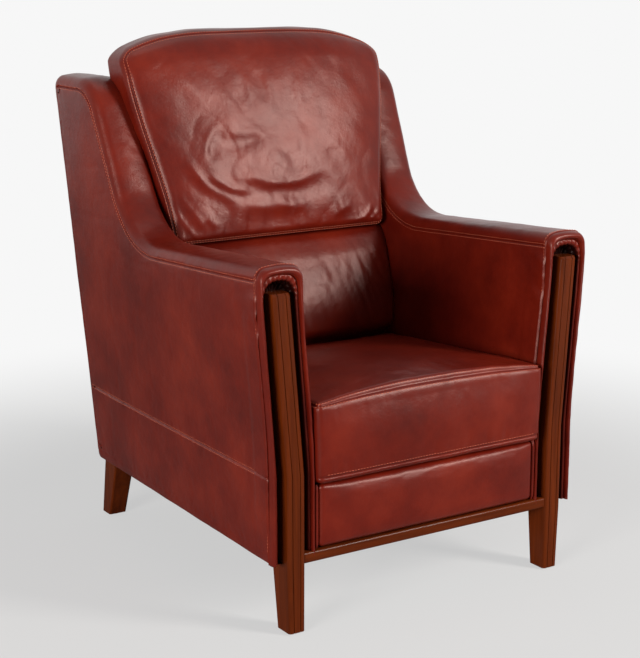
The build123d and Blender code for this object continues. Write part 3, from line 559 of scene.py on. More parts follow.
def build_slab(side, path, normal):
    """The leather over a slab's rim, parted into the band and the outer and inner rims."""
    rows, half = strip_section()
    count = len(path)
    seamed = in_band(path, normal).astype(float)
    # the roll is all but square along the slab's foot
    square = np.clip(-normal[:, 1] - 0.6, 0, 0.4) / 0.4
    tight = 1 - 0.62 * square
    groove = GROOVE * bump(path[:, 0] - FACING_Y, GROOVE_HALF)
    strips = []
    for lateral, depth in rows:
        outside = lateral < SIDE_THICK / 2
        rim = min(lateral, SIDE_THICK - lateral, ROLL)
        on_roll = 0 < rim < ROLL
        lateral_at = lateral
        if on_roll:
            moved = rim * tight if depth > 0.3 * ROLL else rim
            lateral_at = moved if outside else SIDE_THICK - moved
        drawn = depth * (tight if on_roll and depth <= 0.7 * ROLL else 1.0)
        yz = path + normal * np.broadcast_to(ROLL - drawn, (count,))[:, None]
        if lateral in (0.0, SIDE_THICK):
            strips.append(face_points(yz, lateral, depth, side, seamed=seamed))
            continue
        pos = slab_surface(yz, lateral_at, side)
        edge = np.clip((ROLL - depth) / ROLL, 0, 1)
        swell = ARM_CROWN * np.sin(np.pi * lateral / SIDE_THICK) * edge
        p = xyz(*path.T, lateral)
        swell = swell + 0.0006 * noise3(p, 0.05, 5 + side) + 0.0004 * noise3(p, 0.016, 3)
        tilt = np.clip(depth / ROLL, 0, 1)
        pos[:, 0] += (side if outside else -side) * (swell - groove) * tilt
        pos[:, 1] += normal[:, 0] * swell * (1 - tilt)
        pos[:, 2] += normal[:, 1] * (swell - groove) * (1 - tilt)
        strips.append(pos)
    verts, quads = sheet(strips, side < 0)
    quads = np.array(quads)
    row_of, col_of = quads.min(1) // count, quads.min(1) % count
    on_top = in_band(path[col_of], normal[col_of])
    band = on_top & (row_of >= SEAM_ROW) & (row_of < len(rows) - 1 - SEAM_ROW)
    outer = ~band & (row_of < half + MIDDLE_ROWS // 2)
    inner = ~band & ~outer
    return [(verts, quads[chosen]) for chosen in (band, outer, inner)]


def face_net(path, normal):
    """Points and triangles in Y and Z that fill the slab's flat face inside the rim's strip."""
    rim = path + normal * (ROLL - SECTION_D[0])
    low, high = rim[-1, 1], rim[0, 1]
    front = [(FACING_Y, low + (high - low) * k / FRONT_PARTS) for k in range(1, FRONT_PARTS)]
    border = np.vstack([rim, front])
    n = len(border)
    ys = np.concatenate([FACING_Y + np.array(FACING_LINES),
                         np.arange(FACING_Y + 0.013, NET_REAR_Y, NET)])
    beside = np.array([-d for d in SKIRT_LINES[::-1]] + [0.0, *SKIRT_LINES])
    zs = np.concatenate([np.arange(BASE_Z, SKIRT_Z - 0.012, NET), SKIRT_Z + beside,
                         np.arange(SKIRT_Z + 0.016, NET_TOP_Z, NET)])
    yy, zz = np.meshgrid(ys, zs)
    pts = np.stack([yy.ravel(), zz.ravel()], 1)
    # every other row moves on by half a step, so that the triangles come out even
    shifted = pts[:, 0] > FACING_Y + 0.011
    pts[:, 0] += shifted * (np.arange(len(pts)) // len(ys) % 2) * NET / 2
    clear = depth_at(pts) > SECTION_D[0] + NET * 0.45
    near_front = pts[:, 0] < FRONT_Y + 0.045
    inside = (pts[:, 1] > low + 0.004) & (pts[:, 1] < high - 0.004)
    every = np.vstack([border, pts[clear | (near_front & inside)]])
    edges = [(i, (i + 1) % n) for i in range(n)]
    got = delaunay_2d_cdt([Vector(p) for p in every], edges, [], 1, 1e-7)
    return np.array([tuple(v) for v in got[0]]), np.array([tuple(f) for f in got[2]])


def fill_face(side, lateral, path, normal):
    """The leather on a slab's flat outer or inner face, as a fine net of triangles."""
    yz, tris = face_net(path, normal)
    y, z = yz.T
    edge = np.minimum(z - BASE_Z, ARM_TOP_Z - ARM_FALL * (y - FACING_Y) - z)
    depth = np.where(y < FRONT_Y + 0.06, edge, depth_at(yz))
    depth = np.maximum(depth, SECTION_D[0])
    seam = 0.0
    if lateral == 0:
        p = xyz(y, z * 0.2, 0)
        pucker = 0.0006 * bump(z - SKIRT_Z, 0.012) * noise3(p, 0.008, 2)
        seam = pucker - 0.0024 * bump(z - SKIRT_Z, 0.0018)
    pos = face_points(yz, lateral, depth, side, seam)
    a, b, c = pos[tris[:, 0]], pos[tris[:, 1]], pos[tris[:, 2]]
    flip = np.cross(b - a, c - a)[:, 0] * outward(side, lateral) < 0
    tris[flip] = tris[flip][:, ::-1]
    return pos, tris


def joined(*parts):
    """Verts and faces of several parts as one, merging points that coincide."""
    verts, faces, offset = [], [], 0
    for v, f in parts:
        verts.append(v)
        faces += [tuple(int(i) + offset for i in face) for face in f]
        offset += len(v)
    verts = np.concatenate(verts)
    keys = np.round(verts / MERGE).astype(np.int64)
    _, first, inverse = np.unique(keys, axis=0, return_index=True, return_inverse=True)
    inverse = inverse.ravel()
    faces = [tuple(dict.fromkeys(inverse[i] for i in face)) for face in faces]
    faces = [f for f in faces if len(f) > 2]
    return verts[first], faces


def split_at(verts, faces, z):
    """Faces of a surface above and below a height."""
    mid = np.array([verts[list(f)].mean(0)[2] for f in faces])
    above = [f for f, m in zip(faces, mid) if m > z]
    below = [f for f, m in zip(faces, mid) if m <= z]
    return above, below


# Arm facings

STILE_X, STILE_FLARE, STILE_TOP_Z = 0.291, 0.025, 0.614
POCKET_HALF, POCKET_RISE, POCKET_R = 0.030, 0.033, 0.026
ARCH_Z = 0.600
LEG_POINTS, ARCH_POINTS = 118, 64
RAY_REACH, RAY_HALVINGS = 0.2, 40
PUCKER, PUCKER_WAVE = 0.0016, 0.0085
PLEAT, PLEAT_WAVE = 0.0022, 0.0105
FACING_STITCH_BACK, FACING_STITCH_LIFT = 0.0037, 0.0008

# How many of the contour's points the puckers spread over to each side of the arch's top, and
# how many at each end have no stitches
ARCH_SPREAD, BARE_ENDS = 36, 6

# The pocket's rows: depth behind the front, how far in from the pocket's edge, and the shares
# of the pleats that show across and forward
POCKET_ROWS = ((0.0190, 0.0004, 0.0, 0.8), (0.0200, 0.0010, 0.5, 0.8),
               (0.0212, 0.0018, 1.0, 0.8), (0.0228, 0.0028, 1.0, 0.8),
               (0.0248, 0.0038, 1.0, 0.8), (0.0280, 0.0048, 1.0, 0.0),
               (0.0315, 0.0056, 1.0, 0.0), (0.0330, 0.0062, 0.0, 0.0),
               (0.0332, 0.0280, 0.0, 0.0))


def stile_x(z):
    return STILE_X + STILE_FLARE * np.maximum(z - KINK_Z, 0) / (STILE_TOP_Z - KINK_Z)


def ray_box(theta, half, up, r):
    """Where a ray at an angle from the centre leaves a box with a rounded top."""
    c, s = np.cos(theta), np.sin(theta)
    lo, hi = 0.0, RAY_REACH
    for _ in range(RAY_HALVINGS):
        mid = (lo + hi) / 2
        x, z = abs(mid * c), mid * s
        dx, dz = max(x - (half - r), 0), max(z - (up - r), 0)
        inside = np.hypot(dx, dz) < r
        lo, hi = (mid, hi) if inside else (lo, mid)
    return lo


def quarter(share, reach, top, fall, turns):
    """Rows over a quarter of a roll, whose foot is at a share and whose top is at a depth."""
    return [(share + reach * (1 - np.cos(t)), top + fall * (1 - np.sin(t))) for t in turns]


def facing_section():
    """(share across, depth behind the front) from the outer seam over two rolls to the pocket;
    the inner roll lies deeper than the outer one."""
    up = np.pi / 2
    rows = [(-0.02, 0.0165), (0.08, 0.0152)]
    rows += quarter(0.03, 0.27, 0.0, 0.014, np.linspace(0.15, up, 8))
    rows += quarter(0.52, -0.22, 0.0, 0.0095, np.linspace(up, 0.1, 7)[1:])
    rows.append((0.53, 0.0106))
    rows += quarter(0.545, 0.20, 0.0078, 0.0028, np.linspace(0.2, up, 5))
    rows += quarter(1, -0.25, 0.0078, 0.010, np.linspace(up, 0, 6)[1:])
    return rows


def facing_contours():
    """Matched points round the right facing: its outer edge and the pocket's, in X and Z."""
    legs = np.linspace(BASE_Z, ARCH_Z, LEG_POINTS)[:-1]
    far, near = outer_x(FACING_Y, legs), stile_x(legs)
    outer, inner = [*zip(far, legs)], [*zip(near + POCKET_HALF, legs)]
    mid = stile_x(ARCH_Z)
    top = ARM_FRONT_Z - ARCH_Z - 0.0008
    half_out = outer_x(FACING_Y, ARCH_Z) - mid
    half_in = mid - (outer_x(FACING_Y, ARCH_Z) - SIDE_THICK)
    for theta in np.linspace(0, np.pi, ARCH_POINTS):
        c, s = np.cos(theta), np.sin(theta)
        r_out = ray_box(theta, half_out if theta < np.pi / 2 else half_in, top, ROLL)
        r_in = ray_box(theta, POCKET_HALF, POCKET_RISE, POCKET_R)
        across = np.clip((half_out - r_out * c) / SIDE_THICK, 0, 1)
        on_top = smooth((r_out * s - top + ROLL) / ROLL)
        crown = ARM_CROWN * np.sin(np.pi * across) * on_top
        outer.append((mid + r_out * c, ARCH_Z + r_out * s + crown))
        inner.append((mid + r_in * c, ARCH_Z + r_in * s))
    outer += zip(far[::-1] - SIDE_THICK, legs[::-1])
    inner += zip(near[::-1] - POCKET_HALF, legs[::-1])
    return np.array(outer), np.array(inner)


def build_facing(side, tag):
    """The leather round an arm's front: its two rolls and the pocket behind the stile."""
    outer, inner = facing_contours()
    count = len(outer)
    along = run_length(inner)
    arch = bump(np.arange(count) - count / 2, ARCH_SPREAD)
    # lining gathers each row's share of painted shade: 0 on the rolls, rising over the inner roll to
    # 1 in the pocket, where the leather is painted nearly black
    rows, lining = [], []
    for share, back in facing_section():
        x, z = (outer + (inner - outer) * share).T
        p = xyz(x, FRONT_Y + back, z)
        lip = smooth((share - 0.55) / 0.25)
        wave = np.sin(along / PUCKER_WAVE * 2 * np.pi + 2 * noise3(p, 0.02, 3))
        y = p[:, 1] + 0.0006 * noise3(p, 0.022, 6) + 0.0004 * noise3(p, 0.009, 2)
        y = y - PUCKER * arch * lip * wave
        rows.append(xyz(side * x, y, z))
        lining.append(smooth((share - 0.80) / 0.18))
    # the pleated lining runs from the inner roll to the pocket's back and closes it
    inward = np.array([[stile_x(z), min(z, ARCH_Z)] for _, z in inner]) - inner
    inward /= np.linalg.norm(inward, axis=1)[:, None]
    flat = xyz(inner[:, 0], 0, inner[:, 1])
    wave = np.sin(along / PLEAT_WAVE * 2 * np.pi + 3 * noise3(flat, 0.015, 8))
    pleats = (0.1 + 0.9 * arch) * PLEAT * wave
    for back, into, across, forward in POCKET_ROWS:
        pleat = pleats * across
        x, z = (inner + inward * (into + pleat)[:, None]).T
        y = FRONT_Y + back - pleat * forward
        rows.append(xyz(side * x, y, z))
        lining.append(1.0)
    verts, faces = sheet(rows, side > 0)
    # close the two legs' feet
    for foot in (0, count - 1):
        faces.append(tuple(range(foot, len(verts), count)))
    obj = piece("arm_facing_leather_" + tag, (verts, faces), ["arm_facing_" + tag])
    # the pocket attribute carries that painted shade to the hide material
    pocket = obj.data.attributes.new(POCKET, "FLOAT", "POINT")
    pocket.data.foreach_set("value", np.repeat(lining, count).astype(np.float32))


def facing_run(side):
    """Points and normals just behind the facing's seam, round the arm's end."""
    outer, _ = facing_contours()
    low = np.minimum(outer[:, 1], ARCH_Z)
    way = outer - np.stack([stile_x(low), low], 1)
    way[outer[:, 1] < ARCH_Z, 1] = 0
    way /= np.linalg.norm(way, axis=1)[:, None]
    x, z = (outer + way * FACING_STITCH_LIFT).T
    pts = xyz(side * x, FACING_Y + FACING_STITCH_BACK, z)
    nrm = xyz(side * way[:, 0], 0.0, way[:, 1])
    return pts[BARE_ENDS:-BARE_ENDS], nrm[BARE_ENDS:-BARE_ENDS]


# The two sides

# The skirt seam's stitches: their ends and points, the least depth there and how far they sink
SKIRT_RUN = np.linspace(FACING_Y + 0.004, 0.35, 120)
SKIRT_DEPTH, SKIRT_SINK = 0.03, 0.0002


def face_run(yz, lateral, depth, side, more=0.0):
    """Points and normals of a run on a slab's outer or inner face."""
    pts = face_points(yz, lateral, depth, side, more)
    nrm = np.zeros_like(pts)
    nrm[:, 0] = outward(side, lateral)
    return pts, nrm


def side_stitches(side, tag, path, normal):
    """Rows on both sides of the band's seams and the skirt seam, and one behind the facing."""
    top = np.where(in_band(path, normal))[0]
    covered = slice(top[0], top[-1] + 1)
    runs = []
    for lateral in (0.0, SIDE_THICK):
        for depth in (SEAM_D - ROW_OFF, SEAM_D + ROW_OFF):
            yz = (path + normal * (ROLL - depth))[covered]
            runs.append(face_run(yz, lateral, depth, side))
    for dz in (-SKIRT_ROW_OFF, SKIRT_ROW_OFF):
        yz = np.stack([SKIRT_RUN, np.full(len(SKIRT_RUN), SKIRT_Z + dz)], 1)
        depth = np.maximum(depth_at(yz), SKIRT_DEPTH)
        runs.append(face_run(yz, 0.0, depth, side, -SKIRT_SINK))
    runs.append(facing_run(side))
    stitches("side_seam_stitches_" + tag, "chair", runs)


def build_side(side, tag):
    """One side's leather: panels, inner side, band over arm and wing, facing and stitches."""
    path, normal = slab_path()
    band, outer, inner = build_slab(side, path, normal)
    verts, faces = joined(outer, fill_face(side, 0.0, path, normal))
    for level, part in zip(("upper", "lower"), split_at(verts, faces, SKIRT_Z)):
        name = level + "_" + tag
        piece("side_leather_" + name, (verts, part), ["side_panel_" + name], trim=True)
    inside = joined(inner, fill_face(side, SIDE_THICK, path, normal))
    piece("inner_side_" + tag, inside, ["inner_side_leather_" + tag], trim=True)
    nodes = ["arm_wing_band_" + tag, "side_padding_" + tag]
    piece("arm_wing_top_" + tag, joined(band), nodes, trim=True)
    build_facing(side, tag)
    side_stitches(side, tag, path, normal)


build_side(1, "R")
build_side(-1, "L")


# The back

BACK_CROWN, BACK_EDGE_R = 0.004, 0.02
TOP_FRONT_Y, TOP_FOOT_Z, TOP_Z = 0.291, 0.888, 0.920
TOP_R, TOP_REAR_R = 0.010, 0.020
TOP_SAG = 0.006


def back_rear_y(z):
    return REAR_Y - (REAR_Y - REAR_FOOT_Y) * (WING_Z - z) / (WING_Z - BASE_Z)


def build_back_panel(name, z0, z1, cad_node, seed):
    """One panel of the outer back's leather, crowned between its edges."""
    xs = np.linspace(-1, 1, 130)
    border = np.linspace(0, 0.006, 6)
    zs = np.unique(np.concatenate([np.linspace(z0, z1, 90), z0 + border, z1 - border]))
    rows = []
    for z in zs:
        half = rear_half(z) - REAR_WRAP
        x = xs * half
        edge = np.minimum(half - np.abs(x), min(z - z0, z1 - z))
        p = xyz(x, back_rear_y(z), z)
        swell = BACK_CROWN * (1 - np.exp(-edge / 0.05)) - 0.002 * bump(edge, 0.002)
        swell = swell + 0.001 * noise3(p, 0.16, seed) + 0.0004 * noise3(p, 0.05, seed + 1)
        low = max(BASE_Z + BACK_EDGE_R - z, 0)
        tuck = BACK_EDGE_R - np.sqrt(max(BACK_EDGE_R ** 2 - low ** 2, 0))
        p[:, 1] += swell - tuck
        rows.append(p)
    piece(name, sheet(rows), [cad_node])


def build_back_top():
    """The leather over the back's top edge, between the wings."""
    xs = np.linspace(-1, 1, 120)
    profile = [(TOP_FRONT_Y, TOP_FOOT_Z + k * 0.004) for k in range(6)]
    profile += [(TOP_FRONT_Y + TOP_R * (1 - np.cos(t)), TOP_Z - TOP_R * (1 - np.sin(t)))
                for t in np.linspace(0, np.pi / 2, 7)]
    profile += [(y, TOP_Z) for y in np.linspace(0.305, 0.392, 22)]
    profile += [(0.3965 + TOP_REAR_R * np.sin(t), TOP_Z - TOP_REAR_R * (1 - np.cos(t)))
                for t in np.linspace(0.1, np.pi / 2 - 0.35, 9)]
    profile += [(0.4158, 0.905)]
    rows = []
    for y, z in profile:
        x = xs * (outer_x(y, z) - SIDE_THICK + 0.002)
        p = xyz(x, y, z)
        dip = TOP_SAG * (1 - xs ** 4) * smooth((z - 0.905) / 0.015)
        lift = 0.0012 * noise3(p, 0.07, 7) + 0.0005 * noise3(p, 0.02, 9)
        p[:, 2] += lift - dip
        rows.append(p)
    piece("back_top_leather", sheet(rows), ["back_top_band", "back_top_pad"])


build_back_panel("back_leather_upper", SKIRT_Z, WING_Z - SEAM_D, "back_panel_upper", 2)
build_back_panel("back_leather_lower", BASE_Z + 0.001, SKIRT_Z, "back_panel_lower", 5)
build_back_top()


# Cushions

CROWDING = 0.55
WING_GAP = 0.0015
SEAM_STEP, CORNER_PARTS = 0.003, 5
DENT_HALF = 0.0021


def spaced(count):
    """Positions from -1 to 1, closer together near the ends."""
    t = np.linspace(-1, 1, count)
    return t * (1 - CROWDING) + CROWDING * np.sin(t * np.pi / 2)


def box_net(counts):
    """A box's surface as a net of quads in coordinates from -1 to 1 with shared edges."""
    places = [spaced(count) for count in counts]
    verts, faces, known = [], [], {}

    def index(*key):
        if key not in known:
            known[key] = len(verts)
            verts.append([places[axis][key[axis]] for axis in range(3)])
        return known[key]

    # each pair of faces: its two axes, the axis across it, and whether its first face turns
    for a, b, across, first_turns in ((0, 1, 2, True), (0, 2, 1, False), (1, 2, 0, True)):
        for i in range(counts[a] - 1):
            for j in range(counts[b] - 1):
                for k, turns in ((0, first_turns), (counts[across] - 1, not first_turns)):
                    quad = []
                    for di, dj in ((0, 0), (1, 0), (1, 1), (0, 1)):
                        key = [k, k, k]
                        key[a], key[b] = i + di, j + dj
                        quad.append(index(*key))
                    faces.append(tuple(quad[::-1] if turns else quad))
    return np.array(verts), faces


def soft_box(counts, half, r):
    """A box with rounded edges as a net: its points, their outward directions and faces."""
    unit, faces = box_net(counts)
    p = unit * half
    q = np.clip(p, -(half - r), half - r)
    d = p - q
    n = d / (np.linalg.norm(d, axis=1)[:, None] + TINY)
    return q + n * r, n, faces


def wing_limit(x, y, z):
    """Keeps a cushion's side clear of the wings' rolled inner faces."""
    depth = depth_at(np.stack([y, z], 1)) + WING_GAP
    inner = outer_x(y, z) - SIDE_THICK - WING_GAP
    ease = np.clip(ROLL - depth, 0, ROLL)
    limit = inner + (ROLL - np.sqrt(np.maximum(ROLL ** 2 - ease ** 2, 0)))
    limit = np.where(depth <= 0, FAR, limit)
    return np.sign(x) * np.minimum(np.abs(x), limit)


def seam_loop(size, r, angle, axis, sign):
    """Points and normals of a soft box along the seam round one of its faces, at an angle
    from that face's axis."""
    flat = [k for k in range(3) if k != axis]
    a, b = size[flat] - r
    corners = np.array([(a, -b), (a, b), (-a, b), (-a, -b)])
    pts, nrm = [], []
    for start, end in zip(corners, np.roll(corners, -1, 0)):
        run = end - start
        length = np.linalg.norm(run)
        d = run / length
        out = np.array([d[1], -d[0]])
        count = max(int(length / SEAM_STEP), 2)
        for k in range(count):
            pts.append(start + run * k / count)
            nrm.append(out)
        for k in range(CORNER_PARTS):
            t = np.pi / 2 * k / CORNER_PARTS
            pts.append(end)
            nrm.append(np.cos(t) * out + np.sin(t) * d)
    p, n = np.zeros((len(pts), 3)), np.zeros((len(pts), 3))
    n[:, flat] = np.array(nrm) * np.sin(angle)
    n[:, axis] = sign * np.cos(angle)
    p[:, flat] = pts
    p[:, axis] = sign * (size[axis] - r)
    return p + n * r, n


def seam_dent(n, r, axis, sign, deep):
    """How deep the seam round a face is drawn in: it lies halfway round the box's edge."""
    angle = np.arccos(np.clip(sign * n[:, axis], -1, 1))
    return deep * bump((angle - np.pi / 4) * r, DENT_HALF)


def cushion(name, body, shape, size, r, counts, nodes, seams=(), extra=()):
    """A soft boxed cushion: a net laid over shape(p, n), with rows of stitches beside the seams
    round its faces, given as (axis, sign), and along extra runs."""
    p, n, faces = soft_box(counts, size, r)
    obj = piece(name, (shape(p, n), faces), nodes, body)
    runs = [seam_loop(size, r, np.pi / 4 + shift / r, axis, sign)
            for axis, sign in seams for shift in (-ROW_OFF, ROW_OFF)]
    runs += extra
    if runs:
        stitches(name + "_stitches", body, [(shape(p, n), n) for p, n in runs])


def rest_y(z):
    """The leaning face behind the back cushions."""
    return BACK_Y + BACK_LEAN * (z - HEAD_FOOT_Z)


# The seat cushion

SEAT_SIZE = np.array([0.248, 0.2475, 0.0725])
SEAT_R = 0.012
SEAT_NET = (136, 124, 56)
SEAT_FOOT_Z, SEAT_FALL = 0.269, 0.026
SEAT_FRONT_Y, SEAT_DEPTH, SEAT_LEAN = -0.409, 0.495, 0.020
SEAT_CROWN, SEAT_BULGE = 0.026, 0.009
SEAT_SEAM = 0.0028

# Waves in the leather: feature size, height and seed
SEAT_WAVES = ((0.14, 0.0022, 1), (0.05, 0.0008, 2), (0.02, 0.0003, 5))

# The stitched seam low on the front: half its length, and its height from the middle
LOW_SEAM_HALF, LOW_SEAM_Z, LOW_SEAM_POINTS = 0.232, -0.0555, 150


def seat_shape(p, n):
    u, v, w = (p / SEAT_SIZE).T
    back, high = (v + 1) / 2, (w + 1) / 2
    top_n, front_n = np.maximum(n[:, 2], 0), np.maximum(-n[:, 1], 0)
    z = SEAT_FOOT_Z + high * 2 * SEAT_SIZE[2] - SEAT_FALL * back
    y = SEAT_FRONT_Y + back * (SEAT_DEPTH - SEAT_LEAN * high)
    x = u * (SEAT_SIZE[0] + 0.03 * (z - SEAT_FOOT_Z) - 0.012 * back)
    across, along = np.abs(u) ** 2.6, np.clip(np.abs((v + 0.25) / 1.25), 0, 1) ** 2.2
    z = z + top_n * SEAT_CROWN * (1 - across) * (1 - along)
    y = y - front_n * SEAT_BULGE * (1 - w ** 2) * (1 - u ** 6)
    base = xyz(x, y, z)
    base -= n * seam_dent(n, SEAT_R, 2, 1, SEAT_SEAM)[:, None]
    base[:, 1] += 0.0034 * front_n * bump(w + 0.84, 0.030)
    for scale, amount, seed in SEAT_WAVES:
        base += n * (amount * noise3(base, scale, seed) * (0.25 + 0.75 * (top_n + front_n)))[:, None]
    # small puckers behind the top seam and beside both seams on the front
    pull = base * np.array([1.0, 0.25, 0.25])
    base[:, 2] -= top_n * 0.0006 * ridges(pull, 0.03, 6, 4.0) * bump(v + 0.8, 0.3)
    base[:, 1] += front_n * 0.0006 * bump(w + 0.6, 0.3) * noise3(pull, 0.011, 7)
    base[:, 1] += front_n * 0.0005 * bump(w - 0.75, 0.25) * noise3(pull, 0.009, 3)
    return base


def seat_cushion():
    xs = np.linspace(-LOW_SEAM_HALF, LOW_SEAM_HALF, LOW_SEAM_POINTS)
    low = xyz(xs, -SEAT_SIZE[1], LOW_SEAM_Z)
    ahead = np.tile([0.0, -1.0, 0.0], (LOW_SEAM_POINTS, 1))
    cushion("seat_cushion_leather", "seat_cushion", seat_shape, SEAT_SIZE, SEAT_R, SEAT_NET,
            ("seat_cushion_cover", "seat_cushion_foam"), [(2, 1)], [(low, ahead)])


# The lumbar cushion

LUMBAR_SIZE = np.array([0.245, 0.07, 0.186])
LUMBAR_R = 0.022
LUMBAR_NET = (124, 44, 100)
LUMBAR_FOOT_Z, LUMBAR_HEIGHT = 0.2405, 0.3705
LUMBAR_FRONT_Y, LUMBAR_LEAN = 0.104, 0.007
LUMBAR_HALF, LUMBAR_WIDENING = 0.2395, 0.06
BELLY, BELLY_Z, BELLY_RISE = 0.054, 0.425, 0.186


def lumbar_shape(p, n):
    u, v, w = (p / LUMBAR_SIZE).T
    front_n = np.maximum(-n[:, 1], 0)
    ahead, high = (1 - v) / 2, (w + 1) / 2
    z = LUMBAR_FOOT_Z + high * LUMBAR_HEIGHT
    rear = rest_y(z) - 0.001
    front = LUMBAR_FRONT_Y - LUMBAR_LEAN * high
    y = front + (v + 1) / 2 * (rear - front)
    x = u * (LUMBAR_HALF + LUMBAR_WIDENING * (z - 0.25))
    # forward-most just above the seat cushion, tucked in behind it
    belly = 1 - np.clip((z - BELLY_Z) / BELLY_RISE, 0, 1) ** 1.5
    belly *= 0.30 + 0.70 * smooth((z - 0.375) / 0.045)
    y = y - ahead * BELLY * belly * (1 - 0.25 * np.abs(u) ** 8)
    y = y + ahead * (0.015 * smooth((z - 0.44) / 0.14) + 0.010 * smooth((z - 0.56) / 0.05))
    base = xyz(x, y, z)
    # fine upright creases under the headrest
    tall = xyz(x + 0.25 * z, y * 0.2, z * 0.20)
    near_top = bump(w - 0.45, 0.55)
    base[:, 1] -= front_n * 0.0009 * noise3(tall, 0.011, 3) * (0.15 + 0.85 * near_top)
    base[:, 1] += front_n * 0.0009 * ridges(tall, 0.020, 4, 5.0) * near_top
    base += n * (0.0020 * noise3(base, 0.09, 5))[:, None]
    return base


# The headrest

HEAD_SIZE = np.array([0.275, 0.055, 0.205])
HEAD_R = 0.022
HEAD_NET = (160, 50, 124)
HEAD_TOP_Z, HEAD_HALF = 1.021, 0.250
HEAD_FRONT_Y, HEAD_LEAN = 0.097, 0.292
HEAD_BULGE, HEAD_SEAM = 0.026, 0.0026
FOLD_POINTS, FOLD_REACH = 48, 0.16

# Each fold: its run in X and Z, half width, ridge height and the hollow beside it
HEAD_FOLDS = (
    (((-0.118, 0.842), (-0.157, 0.812), (-0.172, 0.770)), 0.0060, 0.0024, -0.0030),
    (((-0.030, 0.826), (-0.085, 0.820), (-0.140, 0.824)), 0.0065, 0.0014, -0.0036),
    (((-0.220, 0.785), (-0.168, 0.723), (-0.100, 0.686)), 0.0065, 0.0033, 0.0028),
    (((-0.170, 0.752), (-0.127, 0.722), (-0.055, 0.700)), 0.0055, 0.0030, 0.0020),
    (((-0.125, 0.745), (-0.010, 0.722), (0.120, 0.738)), 0.0075, 0.0036, 0.0046),
    (((-0.110, 0.690), (-0.030, 0.672), (0.070, 0.688)), 0.0090, 0.0030, 0.0036),
    (((-0.252, 0.700), (-0.228, 0.660), (-0.195, 0.628)), 0.0045, 0.0024, 0.0024),
    (((-0.236, 0.720), (-0.205, 0.668), (-0.160, 0.632)), 0.0050, 0.0026, 0.0020),
    (((-0.185, 0.665), (-0.150, 0.640)), 0.0050, 0.0022, 0.0020),
    (((0.225, 0.672), (0.195, 0.640), (0.150, 0.628)), 0.0050, 0.0026, -0.0020),
    (((0.238, 0.650), (0.205, 0.628)), 0.0040, 0.0022, -0.0018),
    (((0.170, 0.668), (0.110, 0.640)), 0.0055, 0.0020, -0.0018),
    (((-0.047, 0.935), (-0.055, 0.870)), 0.0060, 0.0010, 0.0010),
    (((0.004, 0.945), (-0.006, 0.865)), 0.0060, 0.0012, 0.0010),
    (((0.062, 0.935), (0.070, 0.850)), 0.0070, 0.0010, 0.0010),
    (((-0.262, 0.845), (-0.235, 0.800)), 0.0050, 0.0014, 0.0012),
    (((0.130, 0.800), (0.175, 0.740)), 0.0080, 0.0014, 0.0012),
)


def curve_through(points):
    """A smooth run through two or three points."""
    pts = np.array(points, float)
    t = np.linspace(0, 1, FOLD_POINTS)[:, None]
    if len(pts) == 2:
        return pts[0] + (pts[1] - pts[0]) * t
    control = 2 * pts[1] - (pts[0] + pts[2]) / 2
    return (1 - t) ** 2 * pts[0] + 2 * t * (1 - t) * control + t ** 2 * pts[2]


def fold(x, z, points, width, height, hollow):
    """A soft ridge along a curve with a hollow on its right-hand side, or on its left-hand
    side where the hollow's depth is negative; both die out towards the curve's ends."""
    run = curve_through(points)
    along = np.linspace(0, 1, len(run))
    way = np.gradient(run, axis=0)
    way /= np.linalg.norm(way, axis=1)[:, None]
    where = np.stack([x, z], 1)
    out = np.zeros(len(x))
    near = np.where(np.abs(where - run.mean(0)).max(1) < FOLD_REACH)[0]
    if not len(near):
        return out
    d = where[near, None] - run[None]
    k = (d ** 2).sum(2).argmin(1)
    d, t = d[np.arange(len(near)), k], way[k]
    across = d[:, 0] * t[:, 1] - d[:, 1] * t[:, 0]
    past = d[:, 0] * t[:, 0] + d[:, 1] * t[:, 1]
    fade = smooth(along[k] / 0.3) * smooth((1 - along[k]) / 0.3) * bump(past, width)
    beside = across - np.sign(hollow) * 2.3 * width
    ridge = height * bump(across, width)
    out[near] = (ridge - abs(hollow) * bump(beside, 1.9 * width)) * fade
    return out


def head_folds(base, n, u, w, front_n):
    """The headrest's slack leather: broad folds, creases and puckers along its foot."""
    x, z = base[:, 0], base[:, 2]
    wave = 0.0026 * noise3(base, 0.11, 1) + 0.0010 * noise3(base, 0.045, 2)
    tilted = xyz(x * 0.8 + z * 0.6, 0, (z * 0.8 - x * 0.6) * 0.45)
    wave += 0.0009 * noise3(tilted, 0.026, 3)
    wave -= 0.0007 * ridges(tilted, 0.05, 4, 4.0)
    foot = bump(w + 1.0, 0.30)
    comb = xyz(x + (0.55 * x / 0.25) * (z - HEAD_FOOT_Z), 0, z * 0.16)
    wave += 0.0015 * foot * noise3(comb, 0.014, 5) - 0.0011 * foot * ridges(comb, 0.026, 6, 4.0)
    flat = xyz(x, 0, z)
    crumple = bump(z - 0.76, 0.11) * bump(x + 0.02, 0.20)
    wave += crumple * (0.0004 * noise3(flat, 0.020, 7) + 0.00022 * noise3(flat, 0.008, 8))
    bent = flat + 0.012 * noise3(flat, 0.04, 9)[:, None]
    wave -= crumple * 0.0006 * ridges(bent, 0.045, 10, 7.0)
    xw = x + 0.006 * noise3(flat, 0.05, 9)
    zw = z + 0.006 * noise3(flat, 0.05, 10)
    for points, width, height, hollow in HEAD_FOLDS:
        wave += 0.55 * fold(xw, zw, points, 1.25 * width, height, 1.3 * hollow)
    edge = np.clip(np.minimum(1 - np.abs(u), 1 - np.abs(w)) / 0.10, 0, 1)
    out = n * (0.0012 * noise3(base, 0.05, 8) * (1 - front_n))[:, None]
    out[:, 1] -= front_n * wave * (0.25 + 0.75 * edge)
    return out


